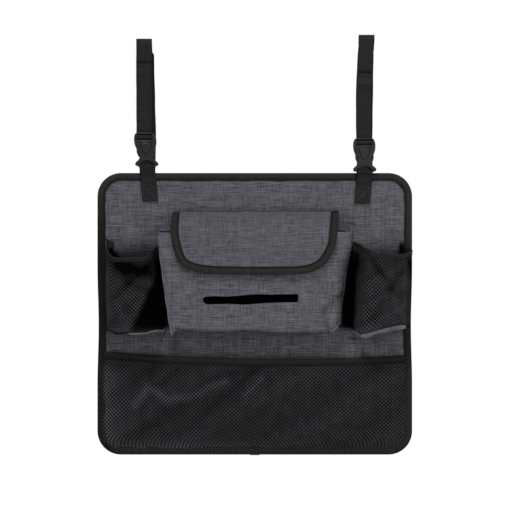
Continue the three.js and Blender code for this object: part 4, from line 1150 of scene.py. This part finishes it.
def flap_point(x, t, h=0.0):
    """A point of the flap: x across, t down the cloth, h out from it."""
    x, t = np.broadcast_arrays(np.asarray(x, float), np.asarray(t, float))
    y = np.interp(t, flap_run, flap_line[:, 0])
    z = np.interp(t, flap_run, flap_line[:, 1]) - np.clip(t - FLAP_LENGTH, 0, None)
    slope = np.gradient(flap_line, flap_run, axis=0)
    ty, tz = np.interp(t, flap_run, slope[:, 0]), np.interp(t, flap_run, slope[:, 1])
    puff = 1.2 * (1 - (x / 110) ** 2) * ease(t, 5, 40) + 0.35 * ripple(x, t, 55, 7.0) * ease(t, 8, 30)
    return np.stack([x, y + tz * (h + puff), z - ty * (h + puff)], axis=-1)


def flap_outline():
    """Points (x, t) round the flap's free edges, from its top left to its top right."""
    px = [171.3, 170.7, 170.5, 171.2, 173, 175, 177.8, 181.6, 187, 194.4, 204, 214.8, 237, 260, 282, 299.4,
          307.5, 314.2, 320.4, 325.3, 329.8, 333.2, 335.4, 336.8, 337.4, 338.5, 339.6]
    py = [211.6, 222, 230, 238, 246, 253, 260, 265, 268.6, 271.2, 273, 274.1, 274.6, 274.8, 274.6, 274,
          273, 271.0, 267.8, 263.8, 257.6, 251.6, 246, 238, 230.5, 221, 211.6]
    x, z = spot(px, py, -50)
    order = np.argsort(flap_line[:, 1])
    t = np.interp(z, flap_line[order, 1], flap_run[order])
    t[0], t[-1] = 9.5, 3.4
    return resample(smooth_line(np.stack([x, t], axis=1), 10), 1.6)


flap_edge = flap_outline()
flap_in = -inward(flap_edge, closed=False)
print("flap length", round(FLAP_LENGTH, 1), "edge", round(run_of(flap_edge)[-1], 1))

# %% [markdown]
# The flap is one layer of cloth, its back near black: a dark backing and painted shade. Its tape is folded
# over the left, lower and right edges, and the ends of the tape go in under the seam at the top, where they
# are in painted shade.

# %% Flap cloth and its binding
def flap_sheet():
    """The flap's cloth, which ends in the middle of its folded tape."""
    inner = flap_edge + flap_in * 5.0
    half = len(inner) // 2
    left, right = inner[:half], inner[half:][::-1]
    t_rows = np.concatenate([np.linspace(0.0, 12, 16)[:-1], np.linspace(12, inner[:, 1].max() - 0.05, 70)])
    t_left, t_right = np.maximum.accumulate(left[:, 1]), np.maximum.accumulate(right[:, 1])
    x_left, x_right = np.interp(t_rows, t_left, left[:, 0]), np.interp(t_rows, t_right, right[:, 0])
    u = np.linspace(0, 1, 130)
    x = blend(x_left[:, None], x_right[:, None], u[None, :])
    t = np.broadcast_to(t_rows[:, None], x.shape)
    points, cloth = flap_point(x, t, 0.0), np.stack([x, -t], axis=2)
    return make_grid("flap_cloth_sheet", points[::-1], cloth=cloth[::-1])


flap_obj = dress(flap_sheet(), flap_cloth, "grey_cloth", "flap")
darken(flap_obj, lambda x, y, z: 0.55 * ease(z, 128.9, 130.4))
thicken(flap_obj, 1.5, -1.0, inside=shaded_backing)


def flap_tape():
    profile = binding_profile(0.0, 1.0, BINDING_WIDTH, 0.5)
    b, h = profile[:, 0], 0.75 - profile[:, 1] * 2.9
    run = run_of(flap_edge)
    xt = flap_edge[:, None] + flap_in[:, None] * b[None, :, None]
    slant = 0.6 * b * np.exp(-run / 7.0)[:, None]
    pulled = h - stitch_pull(len(flap_edge), 0.15, profile[:, 2]) * np.sign(h + 0.7)
    points = flap_point(xt[:, :, 0], np.maximum(xt[:, :, 1] - slant, 0.8), pulled)
    return make_grid("flap_edge_tape", points, cloth=band_map(b, run))


def flap_tape_shade(x, y, z):
    ends = np.where(x < 0, ease(z - 0.3 * (x + 107), 125.6, 127.6), ease(z, 128.6, 129.8))
    return 0.85 * ends + 0.12


flap_tape_obj = flap_tape()
darken(flap_tape_obj, flap_tape_shade)
dress(flap_tape_obj, binding_tape, "black_tape", "flap_binding")
sewn = flap_edge + flap_in * STITCHED_AT
path = flap_point(sewn[:, 0], sewn[:, 1], 0.62)
out = flap_point(sewn[:, 0], sewn[:, 1], 1.62) - path
dress(join_meshes("flap_stitches", stitch_dashes(path, out)), thread, "black_tape")
print("flap done")

# %% [markdown]
# Each bottle pocket is a piece of net sewn to the panel at both sides, with a narrow band round its mouth
# and a small cloth floor. Empty, it keeps a rounded form, leans over a little and folds. The same formula as
# the measured model gives the form, with deeper folds.

# %% Bottle pocket sizes and folds
SEAM_X, SIDE_NET_Y, SIDE_INSET, SIDE_HEIGHT = 114.0, -5.6, 10.3, 98.0
ROUNDNESS = 2 / 3.2
LEFT = dict(name="left", side=-1, mouth=(95, 90), drop=18.5, floor=(-18, -14), floor_drop=9, overhang=0,
            lean=16, low_lean=0, slope=0.6, hollow=3, pleat=11,
            mouth_x=[105, 107, 110, 115, 128, 145, 150, 155, 157.5, 160],
            mouth_y=[250, 253, 256.5, 258.2, 258.2, 257, 255, 251, 247, 245],
            low_x=[105, 108, 115, 122, 130, 145, 158, 168],
            low_y=[327, 330.5, 335.2, 335.2, 333, 332.3, 329, 326])
RIGHT = dict(name="right", side=1, mouth=(89, 94), drop=15, floor=(-10, -18), floor_drop=7, overhang=20,
             lean=24, low_lean=12, slope=1.4, hollow=0, pleat=0,
             mouth_x=[354, 362, 367, 375, 385, 400, 408, 411.5],
             mouth_y=[240, 243, 249, 252.8, 255, 255, 253.6, 251],
             low_x=[345, 352, 359, 366, 375, 390, 400, 411],
             low_y=[329, 331, 334.5, 333.4, 331, 327, 325, 324])


def creases(x, z, slope, pitch):
    """Slanted creases, pitch millimetres apart."""
    finer = 0.5 * np.sin((x - 1.4 * slope * z) / (0.11 * pitch))
    return np.sin((x - slope * z) * 2 * math.pi / pitch) + finer


def from_line(a, b, x, z):
    """How far a place lies beyond the line between two picture positions, how far along, and the length."""
    (ax, az), (bx, bz) = spot(*a, -40), spot(*b, -40)
    length = math.hypot(bx - ax, bz - az)
    beyond = ((x - ax) * (az - bz) + (z - az) * (bx - ax)) / length
    along = ((x - ax) * (bx - ax) + (z - az) * (bz - az)) / length
    return beyond, along, length


def folds_of(name, x, z):
    """How far the slack net sinks in at the deep folds that the photograph shows, in millimetres."""
    def trough(a, b, width):
        beyond, along, length = from_line(a, b, x, z)
        return np.exp(-((beyond / width) ** 2)) * ease(along, -12, 8) * ease(length - along, -12, 8)

    if name == "left":
        beyond, _, _ = from_line((161, 262), (141, 304), x, z)
        recess = 15.0 * ease(beyond, -1.5, 8.0) * (1 - ease(z, 58, 76))
        return recess + 4.0 * trough((152, 262), (112, 300), 5.0) + 3.0 * trough((136, 300), (108, 326), 5.0)
    lower = 5.5 * trough((405, 268), (372, 322), 5.5)
    middle = 4.5 * trough((372, 262), (398, 300), 5.0)
    upper = 4.0 * trough((366, 252), (380, 275), 4.5)
    return lower + middle + upper


px, py = np.meshgrid(np.linspace(104, 168, 33), np.linspace(256, 332, 39))
print("left folds sink in by up to", round(float(folds_of("left", *spot(px, py, -40)).max()), 1), "mm")


# %% Bottle pocket surfaces
def side_surface(spec):
    """The form of one bottle net: u from its left seam to its right, v from its lower edge to its mouth."""
    side = spec["side"]

    def place(u, v):
        share = u if side < 0 else 1 - u
        angle = math.pi * np.clip(share, 0, 1)
        across = np.sign(np.cos(angle)) * np.abs(np.cos(angle)) ** ROUNDNESS
        forward = np.abs(np.sin(angle)) ** ROUNDNESS
        mouth = blend(*spec["mouth"], share) - spec["drop"] * forward
        floor = blend(*spec["floor"], share) - spec["floor_drop"] * forward
        outer = half_width(blend(floor, mouth, v), SIDE_INSET)
        lean = blend(spec["low_lean"], spec["lean"], v)
        quick = 1 - (1 - forward) ** 3
        swell = np.where(across > 0, spec["overhang"] * across * forward, lean * -across * quick)
        swell = swell - spec["pleat"] * np.exp(-(((share - 0.04) / 0.03) ** 2)) * ease(v, 0.7, 1.0)
        x = (outer + SEAM_X) / 2 + (outer - SEAM_X) / 2 * across + swell
        px = picture_x(side * x, -45)
        picture_mouth = spot(0, np.interp(px, spec["mouth_x"], spec["mouth_y"]), -48)[1]
        picture_floor = spot(0, np.interp(px, spec["low_x"], spec["low_y"]), -44)[1]
        near = ease(forward, 0.55, 0.95)
        z = blend(blend(floor, picture_floor, near), blend(mouth, picture_mouth, near), v)
        fade = np.sqrt(np.sin(math.pi * np.clip(v / 0.945, 0, 1)))
        fold = 1.9 * creases(x, z, spec["slope"], 38) * forward * fade
        dent = spec["hollow"] * np.exp(-(((share - 0.72) / 0.12) ** 2) - ((v - 0.3) / 0.3) ** 2)
        dent = dent + folds_of(spec["name"], side * x, z) * forward
        depth = blend(38, 44, v)
        seat = blend(SIDE_NET_Y, SEWN_Y - 0.8 * v, np.clip(share, 0, 1))
        y = np.minimum(seat - depth * forward + fold + dent * fade, seat)
        return np.stack([side * x, y, z], axis=-1)

    return place


def even_walk(surface, v=0.5, count=400):
    """Shares u that are evenly far apart along the cloth at height v, and the cloth's width there."""
    u = np.linspace(0, 1, count)
    run = run_of(surface(u, np.full_like(u, v)))
    return (lambda s: np.interp(s, run, u)), run[-1]


print("bottle pocket form ready")

# %% [markdown]
# The net is laid on that form evenly along its width, so that its holes stay regular while it folds. The
# narrow band at the mouth is folded over it as at the wide pocket. Deep folds and the walls next to the
# panel are in the shade.

# %% Bottle pocket nets and bands
def side_net(spec):
    surface = side_surface(spec)
    walk, width = even_walk(surface)

    def place(s, t):
        return surface(walk(np.clip(s + width / 2, 0, width)), np.clip(t / SIDE_HEIGHT, 0, 1))

    net = net_mesh(f"{spec['name']}_pocket_mesh", place, width, SIDE_HEIGHT, 1.3, 1.58)
    return net, surface, walk, width


def side_hem(spec, surface, walk, width):
    edge, down, out = mouth_frame(surface, walk(np.arange(0, width, 1.4)))
    inside = np.array([spec["side"] * 155.0, -20.0, 80.0])
    out *= np.sign(np.sum(out * (edge - inside), axis=1))[:, None]
    return fold_tape(f"{spec['name']}_hem_tape", edge, down, out, 6.0, 0.8, 0.35)


def left_net_shade(x, y, z):
    near_panel = 0.9 * ease(y, -34, -12)
    under_hem = 0.5 * ease(z, 38, 70)
    recess = 0.98 * np.clip(folds_of("left", x, z) / 12, 0, 1)
    upper_fold = 0.7 * near_line(x, z, [(121, 266), (134, 270), (150, 274)], 9)
    slanted_fold = 0.5 * near_line(x, z, [(124, 262), (128, 282), (146, 290)], 7)
    return near_panel + under_hem + recess + upper_fold + slanted_fold


def right_net_shade(x, y, z):
    near_panel = 0.9 * ease(y, -34, -12) * (1 - ease(x, 185, 190))
    under_hem = 0.35 * ease(z, 38, 70)
    wall = 0.95 * (1 - ease(x, 116, 131))
    rim = 0.45 * ease(x, 188, 194) + 0.5 * near_line(x, z, [(411, 262), (412, 322)], 3)
    return near_panel + under_hem + wall + rim + 0.03 * folds_of("right", x, z)


sides = {}
for spec, shade in ((LEFT, left_net_shade), (RIGHT, right_net_shade)):
    net, surface, walk, width = side_net(spec)
    darken(net, shade)
    glint(net, lambda x, y, z, shade=shade: 0.1 * (1 - np.clip(shade(x, y, z), 0, 1)))
    dress(net, lit_net_yarn, "black_net", f"{spec['name']}_pocket_net")
    dress(side_hem(spec, surface, walk, width), hem_tape, "black_tape", f"{spec['name']}_pocket_hem")
    sides[spec["name"]] = (net, surface, width)
    print(spec["name"], "net", len(net.data.polygons), "faces, width", round(width))

# %% [markdown]
# A small piece of the panel's cloth closes each bottle pocket below. It sags a little, and its front edge
# turns down over the net's lower edge, where it shows as a narrow grey lip.

# %% Bottle pocket floors
LEAF_X = [356, 359, 366, 370, 375, 383, 390, 404, 405.5, 407]
LEAF_Y = [334.0, 336.0, 338.0, 336.0, 333.6, 332.2, 331.0, 328.2, 326.6, 325.6]


def side_floor(spec, surface):
    """The floor from its seam to the net's lower edge, and the lip that turns down in front."""
    u = np.linspace(0.06, 0.94, 90)
    edge_x, edge_y, edge_z = surface(u, np.zeros_like(u)).T
    seam_x = np.clip(np.abs(edge_x), SEAM_X, half_width(edge_z, SIDE_INSET)) * spec["side"]
    px = picture_x(edge_x)
    if spec["side"] < 0:
        lip = blend(0.0, 1.7, ease(px, 126, 134))
        lift = 3.0 * (1 - ease(px, 127, 132))
    else:
        low_z = spot(0, np.interp(px, LEAF_X, LEAF_Y), -45)[1]
        shows = (px > 355) & (px < 405.5) & (edge_y < -20)
        lip = np.where(shows, np.clip(edge_z - low_z, 0.4, 11), 0.4)
        lip = np.convolve(np.pad(lip, 1, mode="edge"), [0.25, 0.5, 0.25], mode="valid")
        lift = 0.0
    v = np.linspace(0, 1, 24)[:, None]
    x, y = blend(seam_x, edge_x, v), blend(SEWN_Y, edge_y - 0.6, v)
    z = edge_z - 0.7 - (1.6 + 1.2 * ripple(x, y, 30, 6.0)) * np.sin(math.pi * v)
    tuck = np.linspace(0, 1, 8)[1:, None]
    leaf_x = np.broadcast_to(edge_x, (len(tuck), len(u)))
    leaf_y = edge_y - 0.6 - 1.4 * np.sin(math.pi * tuck * 0.5) - 0.5 * np.sin(edge_x / 4) * tuck
    leaf_z = edge_z - 0.7 - lip * tuck
    rows = [np.vstack([x, leaf_x]), np.vstack([y, leaf_y]), np.vstack([z, leaf_z]) + lift]
    return make_grid(f"{spec['name']}_floor_cloth", np.stack(rows, axis=2))


def floor_shade(x, y, z):
    """The floor is dark behind the net and grey only where its lip shows."""
    return 1 - ease(x, -162, -156) + ease(x, 189.5, 191.5)


for spec in (LEFT, RIGHT):
    floor = side_floor(spec, sides[spec["name"]][1])
    dress(floor, grey_cloth, "grey_cloth", f"{spec['name']}_pocket_floor")
    thicken(floor, 0.8, 0.0)
    darken(floor, floor_shade)
print("floors done")

# %% [markdown]
# Webbing is a flat woven band with a firm edge. It is swept along its own line, seen from the side, with a
# section that has rounded edges, and it moves a little sideways on its way, as the photograph shows.

# %% Webbing sweep
WEB, WEB_HALF, GAP = 1.1, 10.0, 0.3


def arc(y, z, radius, start, end, count):
    turn = np.linspace(start, end, count + 1)
    return [(y + radius * math.cos(a), z + radius * math.sin(a)) for a in turn]


def web_section():
    r = WEB / 2
    angle = np.linspace(-math.pi / 2, math.pi / 2, 5)
    right = [(WEB_HALF - r * 0.8 + r * 0.8 * math.cos(a), r * math.sin(a)) for a in angle]
    left = [(-x, -b) for x, b in right]
    inner_top = [(x, r - 0.06 * (abs(x) < 8.3)) for x in (8.9, 8.2, 4, 0, -4, -8.2, -8.9)]
    inner_low = [(-x, -b) for x, b in inner_top]
    return np.array(right + inner_top + left + inner_low)


def web(name, line, sideways):
    """Webbing along a line (y, z). sideways(z, behind) says where across the part it lies at each height."""
    line = resample(smooth_line(line, 6), 1.6)
    ahead = unit(np.gradient(line, axis=0))
    square = np.stack([-ahead[:, 1], ahead[:, 0]], axis=1)
    section = web_section()
    run = run_of(line)
    crest = int(np.argmax(line[:, 1]))
    middle = np.array([sideways(z, i <= crest) for i, (y, z) in enumerate(line)])
    x = middle[:, None] + section[:, 0] + 0.12 * np.sin(run / 7.0)[:, None]
    y = line[:, :1] + square[:, :1] * section[:, 1]
    z = line[:, 1:] + square[:, 1:] * section[:, 1]
    points = np.stack([x, y, z], axis=2)
    count = len(section)
    fan = [[a, (a + 1) % count, count] for a in range(count)]
    parts = [(points, grid_faces(len(line), count, loop_columns=True), band_map(section[:, 0], run))]
    for end in (points[0], points[-1]):
        parts.append((np.vstack([end, end.mean(axis=0)]), fan, np.zeros((count + 1, 2))))
    return join_meshes(name, parts)


print("webbing section", len(web_section()), "points")

# %% [markdown]
# Each strap comes out of the panel's back, goes up and over a headrest post, down to the buckle's bar, round
# it and up again, where its end is turned and sewn. The values below are read off the photograph for each
# side: heights, places across, a slight bow and a slight lean.

# %% Straps
STRAPS = [
    dict(name="left", top_x=-140.7, top_z=350, tail_z=318.4, buckle_x=-138.6, buckle_z=229.9, back_x=-136.4,
         anchor_x=-132.8, anchor_z=143.5, bow=0.0, web_x=-140.38, shift=-1.2, tilt=0.068, window=-0.9, slip=2.0,
         tail_rows=(9.6,)),
    dict(name="right", top_x=142.1, top_z=355, tail_z=305.7, buckle_x=139.2, buckle_z=222.9, back_x=139.6,
         anchor_x=136.3, anchor_z=140.3, bow=-1.8, web_x=138.9, shift=-0.4, tilt=0.02, window=0.1, slip=-0.6,
         tail_rows=(6.5, 8.3, 10.1, 11.9, 13.7)),
]
BUCKLE_Y, BAR, BAR_DROP, EYE_DROP = -8.0, 1.2, 5.1, 42.2
WRAP, LAYER = BAR + GAP + WEB / 2, WEB + GAP
POST_RADIUS = 6.5
FOLD_RADIUS = POST_RADIUS + WEB / 2
LOAD_Y = BUCKLE_Y + WRAP + LAYER


def fold_height(s):
    """The height at which the strap's bend over the post has its centre."""
    return s["top_z"] - POST_RADIUS - WEB


def load_at(s, z):
    """The depth of the run that carries the load, at height z between the buckle and the post."""
    rise = (z - s["buckle_z"]) / (fold_height(s) - s["buckle_z"])
    return LOAD_Y + rise * (-FOLD_RADIUS - LOAD_Y)


def strap_line(s):
    """The strap in a side view, from the panel to its own turned end."""
    buckle_z, bar_z, fold_z = s["buckle_z"], s["buckle_z"] - BAR_DROP, fold_height(s)
    tail, turn = BUCKLE_Y + WRAP, (LOAD_Y - (BUCKLE_Y - WRAP)) / 2
    inner, sewn, taped = WRAP - 0.65, -0.65, 0.1
    hem_top = s["tail_z"] - LAYER / 2
    line = [(sewn, 139), (sewn, 165), (taped, 168), (taped, PANEL_HALF_HEIGHT)]
    line += [(blend(taped, FOLD_RADIUS, k ** 0.8), blend(PANEL_HALF_HEIGHT, fold_z, k))
             for k in np.linspace(0.12, 0.9, 6)]
    line += arc(0, fold_z, FOLD_RADIUS, 0, math.pi, 8)
    line += [(load_at(s, z), z) for z in blend(fold_z, buckle_z, np.linspace(0.1, 0.9, 6))]
    line += [(LOAD_Y, buckle_z)]
    line += arc(BUCKLE_Y - WRAP + turn, bar_z - 0.4, turn, 0, -math.pi, 8)
    line += arc(BUCKLE_Y, bar_z, WRAP, math.pi, math.pi / 2, 5)[1:]
    line += arc(tail - inner, bar_z + WRAP + inner, inner, -math.pi / 2, 0, 4)[1:]
    line += [(tail, buckle_z + 1)]
    line += [(load_at(s, z) - LAYER, z) for z in (buckle_z + 12, s["tail_z"] - 26)]
    line += [(load_at(s, z) - 2 * LAYER, z) for z in (s["tail_z"] - 15, hem_top)]
    line += arc(load_at(s, hem_top) - 1.5 * LAYER, hem_top, LAYER / 2, math.pi, 0, 4)[1:]
    line += [(load_at(s, hem_top - 10) - LAYER, hem_top - 10)]
    return line


def strap_sideways(s):
    """How far across the strap lies at height z, on its run behind the post or on the one before it."""
    fold_z = s["top_z"] - POST_RADIUS

    def place(z, behind):
        if behind:
            share = (max(z, PANEL_HALF_HEIGHT) - PANEL_HALF_HEIGHT) / (fold_z - PANEL_HALF_HEIGHT)
            slip = s["slip"] * (1 - ease(share, 0.922, 0.932)) * ease(share, 0, 0.3)
            return blend(s["back_x"], s["top_x"], share) + slip
        rise = min(max((z - s["buckle_z"]) / (fold_z - s["buckle_z"]), 0), 1)
        return blend(s["web_x"], s["top_x"], rise) + s["bow"] * math.sin(math.pi * rise)

    return place


def strap_shade(s):
    """A dark line over the turned end, and shade on the run behind."""
    def shade(x, y, z):
        over_end = 0.95 * np.clip(1 - np.abs(z - s["tail_z"] - 1.3) / 1.9, 0, 1) * (y < -6)
        return over_end + 0.3 * (y > -2) * (1 - ease(z, 340, 350))

    return shade


for s in STRAPS:
    strap = web(f"{s['name']}_strap_web", strap_line(s), strap_sideways(s))
    darken(strap, strap_shade(s))
    dress(strap, strap_webbing, "black_webbing", f"{s['name']}_strap")
print("straps done")

# %% [markdown]
# A short doubled webbing holds each buckle's lower half. Both of its layers are sewn to the panel's face, and
# between them it goes round the bar of the buckle's eye. It leans over a little to meet the buckle.

# %% Anchors
def anchor_line(s):
    on_face, on_tape = FACE_Y - GAP - WEB / 2, -4.5 - GAP - WEB / 2
    tape_z, low_z = 169.0, s["anchor_z"]
    behind = [(on_face, low_z), (on_face, low_z + 12), (on_face, tape_z - 4), (on_tape, tape_z - 1),
              (on_tape, tape_z + 5)]
    before = [(y - LAYER, z) for y, z in behind[::-1]]
    return behind + arc(BUCKLE_Y, s["buckle_z"] - EYE_DROP, WRAP, 0, math.pi, 8) + before


def anchor_middle(s, z):
    """Where across the anchor's middle lies at height z."""
    eye_x = s["buckle_x"] + s["shift"] + s["tilt"] * EYE_DROP
    eye_z = s["buckle_z"] - EYE_DROP
    return blend(s["anchor_x"], eye_x, (z - s["anchor_z"]) / (eye_z - s["anchor_z"]))


for s in STRAPS:
    anchor = web(f"{s['name']}_anchor_web", anchor_line(s), lambda z, behind, s=s: anchor_middle(s, z))
    dress(anchor, strap_webbing, "black_webbing", f"{s['name']}_anchor")
print("anchors done")

# %% [markdown]
# The anchor is held by a box of stitches with a cross in it, and the strap's turned end by a short dense
# block of stitches. They are thread dashes laid on the webbing's front.

# %% Box stitches and tail stitches
BOX_FRONT = -6.62


def dashes_between(points, y, length=2.4):
    line = resample(np.array([(x, y, z) for x, z in points]), 0.8)
    return stitch_dashes(line, np.tile([0.0, -1.0, 0.0], (len(line), 1)), length, 0.6, 0.34)


for s in STRAPS:
    z0, z1 = s["anchor_z"] + 1.8, s["anchor_z"] + 20.5
    corners = ((-8, z0), (8, z0), (8, z1), (-8, z1))
    a, b, c, d = [(anchor_middle(s, z) + dx, z) for dx, z in corners]
    parts = []
    for pair in ((a, b), (b, c), (c, d), (d, a), (a, c), (b, d)):
        parts += dashes_between(pair, BOX_FRONT)
    dress(join_meshes(f"{s['name']}_box_stitches", parts), strap_thread, "black_webbing")
    parts = []
    for drop in s["tail_rows"]:
        z = s["tail_z"] - drop
        x = strap_sideways(s)(z, False)
        parts += dashes_between([(x - 8.6, z), (x + 8.6, z)], load_at(s, z) - 2 * LAYER - 0.5, 2.0)
    dress(join_meshes(f"{s['name']}_tail_stitches", parts), strap_thread, "black_webbing")
print("box stitches done")

# %% [markdown]
# The buckle has two moulded halves. The upper one is a frame with a bar that the strap winds round and two
# springy arms. The lower one is a flat socket with an eye for the anchor. Flat outlines with holes, given
# depth and a rounded rim, are just how such parts are moulded.

# %% Buckle outlines
def bend(a, b, c, count):
    """A curve from a to c that is pulled towards b."""
    t = np.linspace(0, 1, count + 1)[:, None]
    a, b, c = map(np.array, (a, b, c))
    return ((1 - t) ** 2 * a + 2 * t * (1 - t) * b + t ** 2 * c).tolist()


def bent_path(start, *turns):
    """Points from start on. A turn is (x, z) for a straight piece or (pull, end, count) for a bent one."""
    path = [list(start)]
    for turn in turns:
        if len(turn) == 2:
            path.append(list(turn))
        else:
            path += bend(path[-1], *turn)[1:]
    return path


def both_sides(flank):
    return flank + [[-x, z] for x, z in flank[::-1] if x > 0.001]


def moulded(name, outlines, half, rim, centre):
    """A plate with rounded rims from closed (x, z) outlines, holes included."""
    curve = bpy.data.curves.new(name, "CURVE")
    curve.dimensions, curve.fill_mode = "2D", "BOTH"
    curve.extrude, curve.bevel_depth, curve.bevel_resolution = (half - rim) * MM, rim * MM, 3
    curve.offset = -rim * MM
    for outline in outlines:
        spline = curve.splines.new("POLY")
        spline.points.add(len(outline) - 1)
        for point, (x, z) in zip(spline.points, outline):
            point.co = (x * MM, z * MM, 0, 1)
        spline.use_cyclic_u = True
    shape = bpy.data.objects.new(name + "_shape", curve)
    bpy.context.scene.collection.objects.link(shape)
    bpy.context.view_layer.update()
    mesh = bpy.data.meshes.new_from_object(shape.evaluated_get(bpy.context.evaluated_depsgraph_get()))
    x, z, thick = places_of(mesh)
    faces = [list(p.vertices) for p in mesh.polygons]
    bpy.data.objects.remove(shape)
    return np.stack([x + centre[0], centre[1] - thick, z + centre[2]], axis=1), faces, np.zeros((len(x), 2))


def lean_over(parts, s):
    """Shifts and leans a buckle's parts as the photograph shows, about the buckle's top."""
    leaning = []
    for points, faces, cloth in parts:
        points = np.asarray(points, float).reshape(-1, 3).copy()
        points[:, 0] += s["shift"] + s["tilt"] * (s["buckle_z"] - points[:, 2])
        leaning.append((points, faces, cloth))
    return leaning


def round_bar(half, drop, centre):
    angle = np.linspace(0, 2 * math.pi, 17)[:-1]
    ring = [(BAR * math.cos(a), BAR * math.sin(a) - drop) for a in angle]
    points = np.array([[(x, y, z) for y, z in ring] for x in (-half, half)]) + np.array(centre)
    return points, grid_faces(2, len(ring), loop_columns=True), np.zeros((2 * len(ring), 2))


print("buckle tools ready")

# %% [markdown]
# The upper half carries the bar and the arms. The strap passes its window, and a low ledge lies behind the
# window's lower edge.

# %% Buckle, upper half


def buckle_male(s):
    c = (s["buckle_x"], BUCKLE_Y, s["buckle_z"])
    flank = bent_path((10.4, 0), ((14.0, -1.6), (14.2, -9.5), 7), ((14.2, -15.5), (11.9, -20.2), 6),
                      (10.5, -20.7), (10.4, -27.5), (8.6, -31.2))
    window = [[-9.6, -1.3], [9.6, -1.3], [10.02, -1.7], [10.02, -8.9], [9.6, -9.3], [-9.6, -9.3],
              [-10.02, -8.9], [-10.02, -1.7]]
    window = [[x + s["window"], z] for x, z in window]
    ledge = [[-10.9, -8.6], [10.9, -8.6], [10.9, -11.5], [-10.9, -11.5]]
    parts = [moulded("male", [both_sides(flank), window], 2.5, 0.5, c),
             moulded("ledge", [ledge], 0.7, 0.3, (c[0], c[1] + 1.7, c[2])),
             round_bar(11.4, BAR_DROP, c)]
    return join_meshes(f"{s['name']}_buckle_prong", lean_over(parts, s))


print("upper half ready")

# %% [markdown]
# The lower half is a socket with a raised shield, an almond window at each side that shows the arms, and an
# eye with its own bar below.

# %% Buckle, lower half
def buckle_female(s):
    c = (s["buckle_x"], BUCKLE_Y, s["buckle_z"])
    flank = bent_path((10.4, -10.6), ((10.2, -16.5), (9.0, -20.2), 5), (11.7, -20.7),
                      ((12.4, -27.5), (8.5, -31.8), 7), ((9.6, -34.4), (12.6, -36.4), 5),
                      ((15.8, -38.9), (14.2, -41.2), 6), ((12.2, -43.4), (10.4, -41.4), 5),
                      ((7.6, -35.4), (0, -34.8), 9))
    almond = bent_path((8.1, -22.8), ((10.8, -24.6), (9.0, -29.0), 5), ((7.7, -26.4), (8.1, -22.8), 5))[:-1]
    windows = [almond, [[-x, z] for x, z in almond[::-1]]]
    shield = bent_path((7.8, -11.8), ((7.2, -19.5), (2.8, -26.2), 8), ((1.2, -28.2), (0, -28.3), 4))
    inner = [[x * 0.9, -12.4 + (z + 11.8) * 0.93] for x, z in shield]
    plate = [[-10.2, -33], [-9.9, -41.0], [9.9, -41.0], [10.2, -33]]
    parts = [moulded("female", [both_sides(flank), both_sides(shield), *windows], 4.0, 0.42, c),
             moulded("shield", [both_sides(inner)], 3.9, 1.2, c),
             round_bar(11.0, EYE_DROP, c),
             moulded("back_plate", [plate], 0.45, 0.15, (c[0], c[1] + 3.5, c[2]))]
    return join_meshes(f"{s['name']}_buckle_socket", lean_over(parts, s))


for s in STRAPS:
    for make, node in ((buckle_male, "male"), (buckle_female, "female")):
        obj = dress(make(s), plastic, "black_plastic", f"{s['name']}_buckle_{node}")
        for polygon in obj.data.polygons:
            polygon.use_smooth = len(polygon.vertices) == 4
print("buckles done")

# %% [markdown]
# Each bottle net and its width are fetched once more from the table of sides; nothing else is done
# with them here.

# %% Bottle nets fetched again
for spec in (LEFT, RIGHT):
    net, _, width = sides[spec["name"]]

# %% [markdown]
# A product photograph like this one is lit by a large soft lamp above the camera and a weaker one on the
# other side. The background is white to the camera only, so that it adds no light of its own.

# %% Stage, light and background
def soft_lamp(name, place, aim, size, power):
    data = bpy.data.lights.new(name, "AREA")
    data.shape, data.size, data.energy = "DISK", size, power
    lamp = bpy.data.objects.new(name, data)
    lamp.location = place
    way = np.array(aim) - np.array(place)
    pitch = math.atan2(-way[2], math.hypot(way[0], way[1]))
    lamp.rotation_euler = (math.pi / 2 - pitch, 0, math.atan2(way[1], way[0]) - math.pi / 2)
    bpy.context.scene.collection.objects.link(lamp)


soft_lamp("key lamp", (-0.3, -1.7, 2.2), (0, 0, 0.05), 1.0, 44)
soft_lamp("fill lamp", (0.95, -1.35, 0.4), (0.1, 0, 0.05), 0.8, 7.0)
soft_lamp("back lamp", (0.6, 2.0, 1.6), (0, 0, 0.05), 1.6, 20)

world = bpy.data.worlds.new("white room")
bpy.context.scene.world = world
world.use_nodes = True
tree = world.node_tree
tree.nodes.clear()
rays = tree.nodes.new("ShaderNodeLightPath")
seen = calc(tree, "MAXIMUM", rays.outputs["Is Camera Ray"], rays.outputs["Is Transmission Ray"])
room = put(tree, "ShaderNodeBackground", {"Color": (1, 1, 1, 1), "Strength": 0.25})
white = put(tree, "ShaderNodeBackground", {"Color": (1, 1, 1, 1), "Strength": 1.0})
mixed = put(tree, "ShaderNodeMixShader", {0: seen, 1: room.outputs[0], 2: white.outputs[0]})
world_out = tree.nodes.new("ShaderNodeOutputWorld")
tree.links.new(mixed.outputs[0], world_out.inputs[0])

floor_points = [(-2600, -2200, -460), (2600, -2200, -460), (2600, 2400, -460), (-2600, 2400, -460)]
stage_floor = make_object("stage_floor", floor_points, [[0, 1, 2, 3]])
pale, _, shader = new_material("pale floor")
shader["Base Color"].default_value = (0.86, 0.86, 0.86, 1)
shader["Roughness"].default_value = 0.9
stage_floor.data.materials.append(pale)

bpy.context.scene.view_settings.view_transform = "Standard"
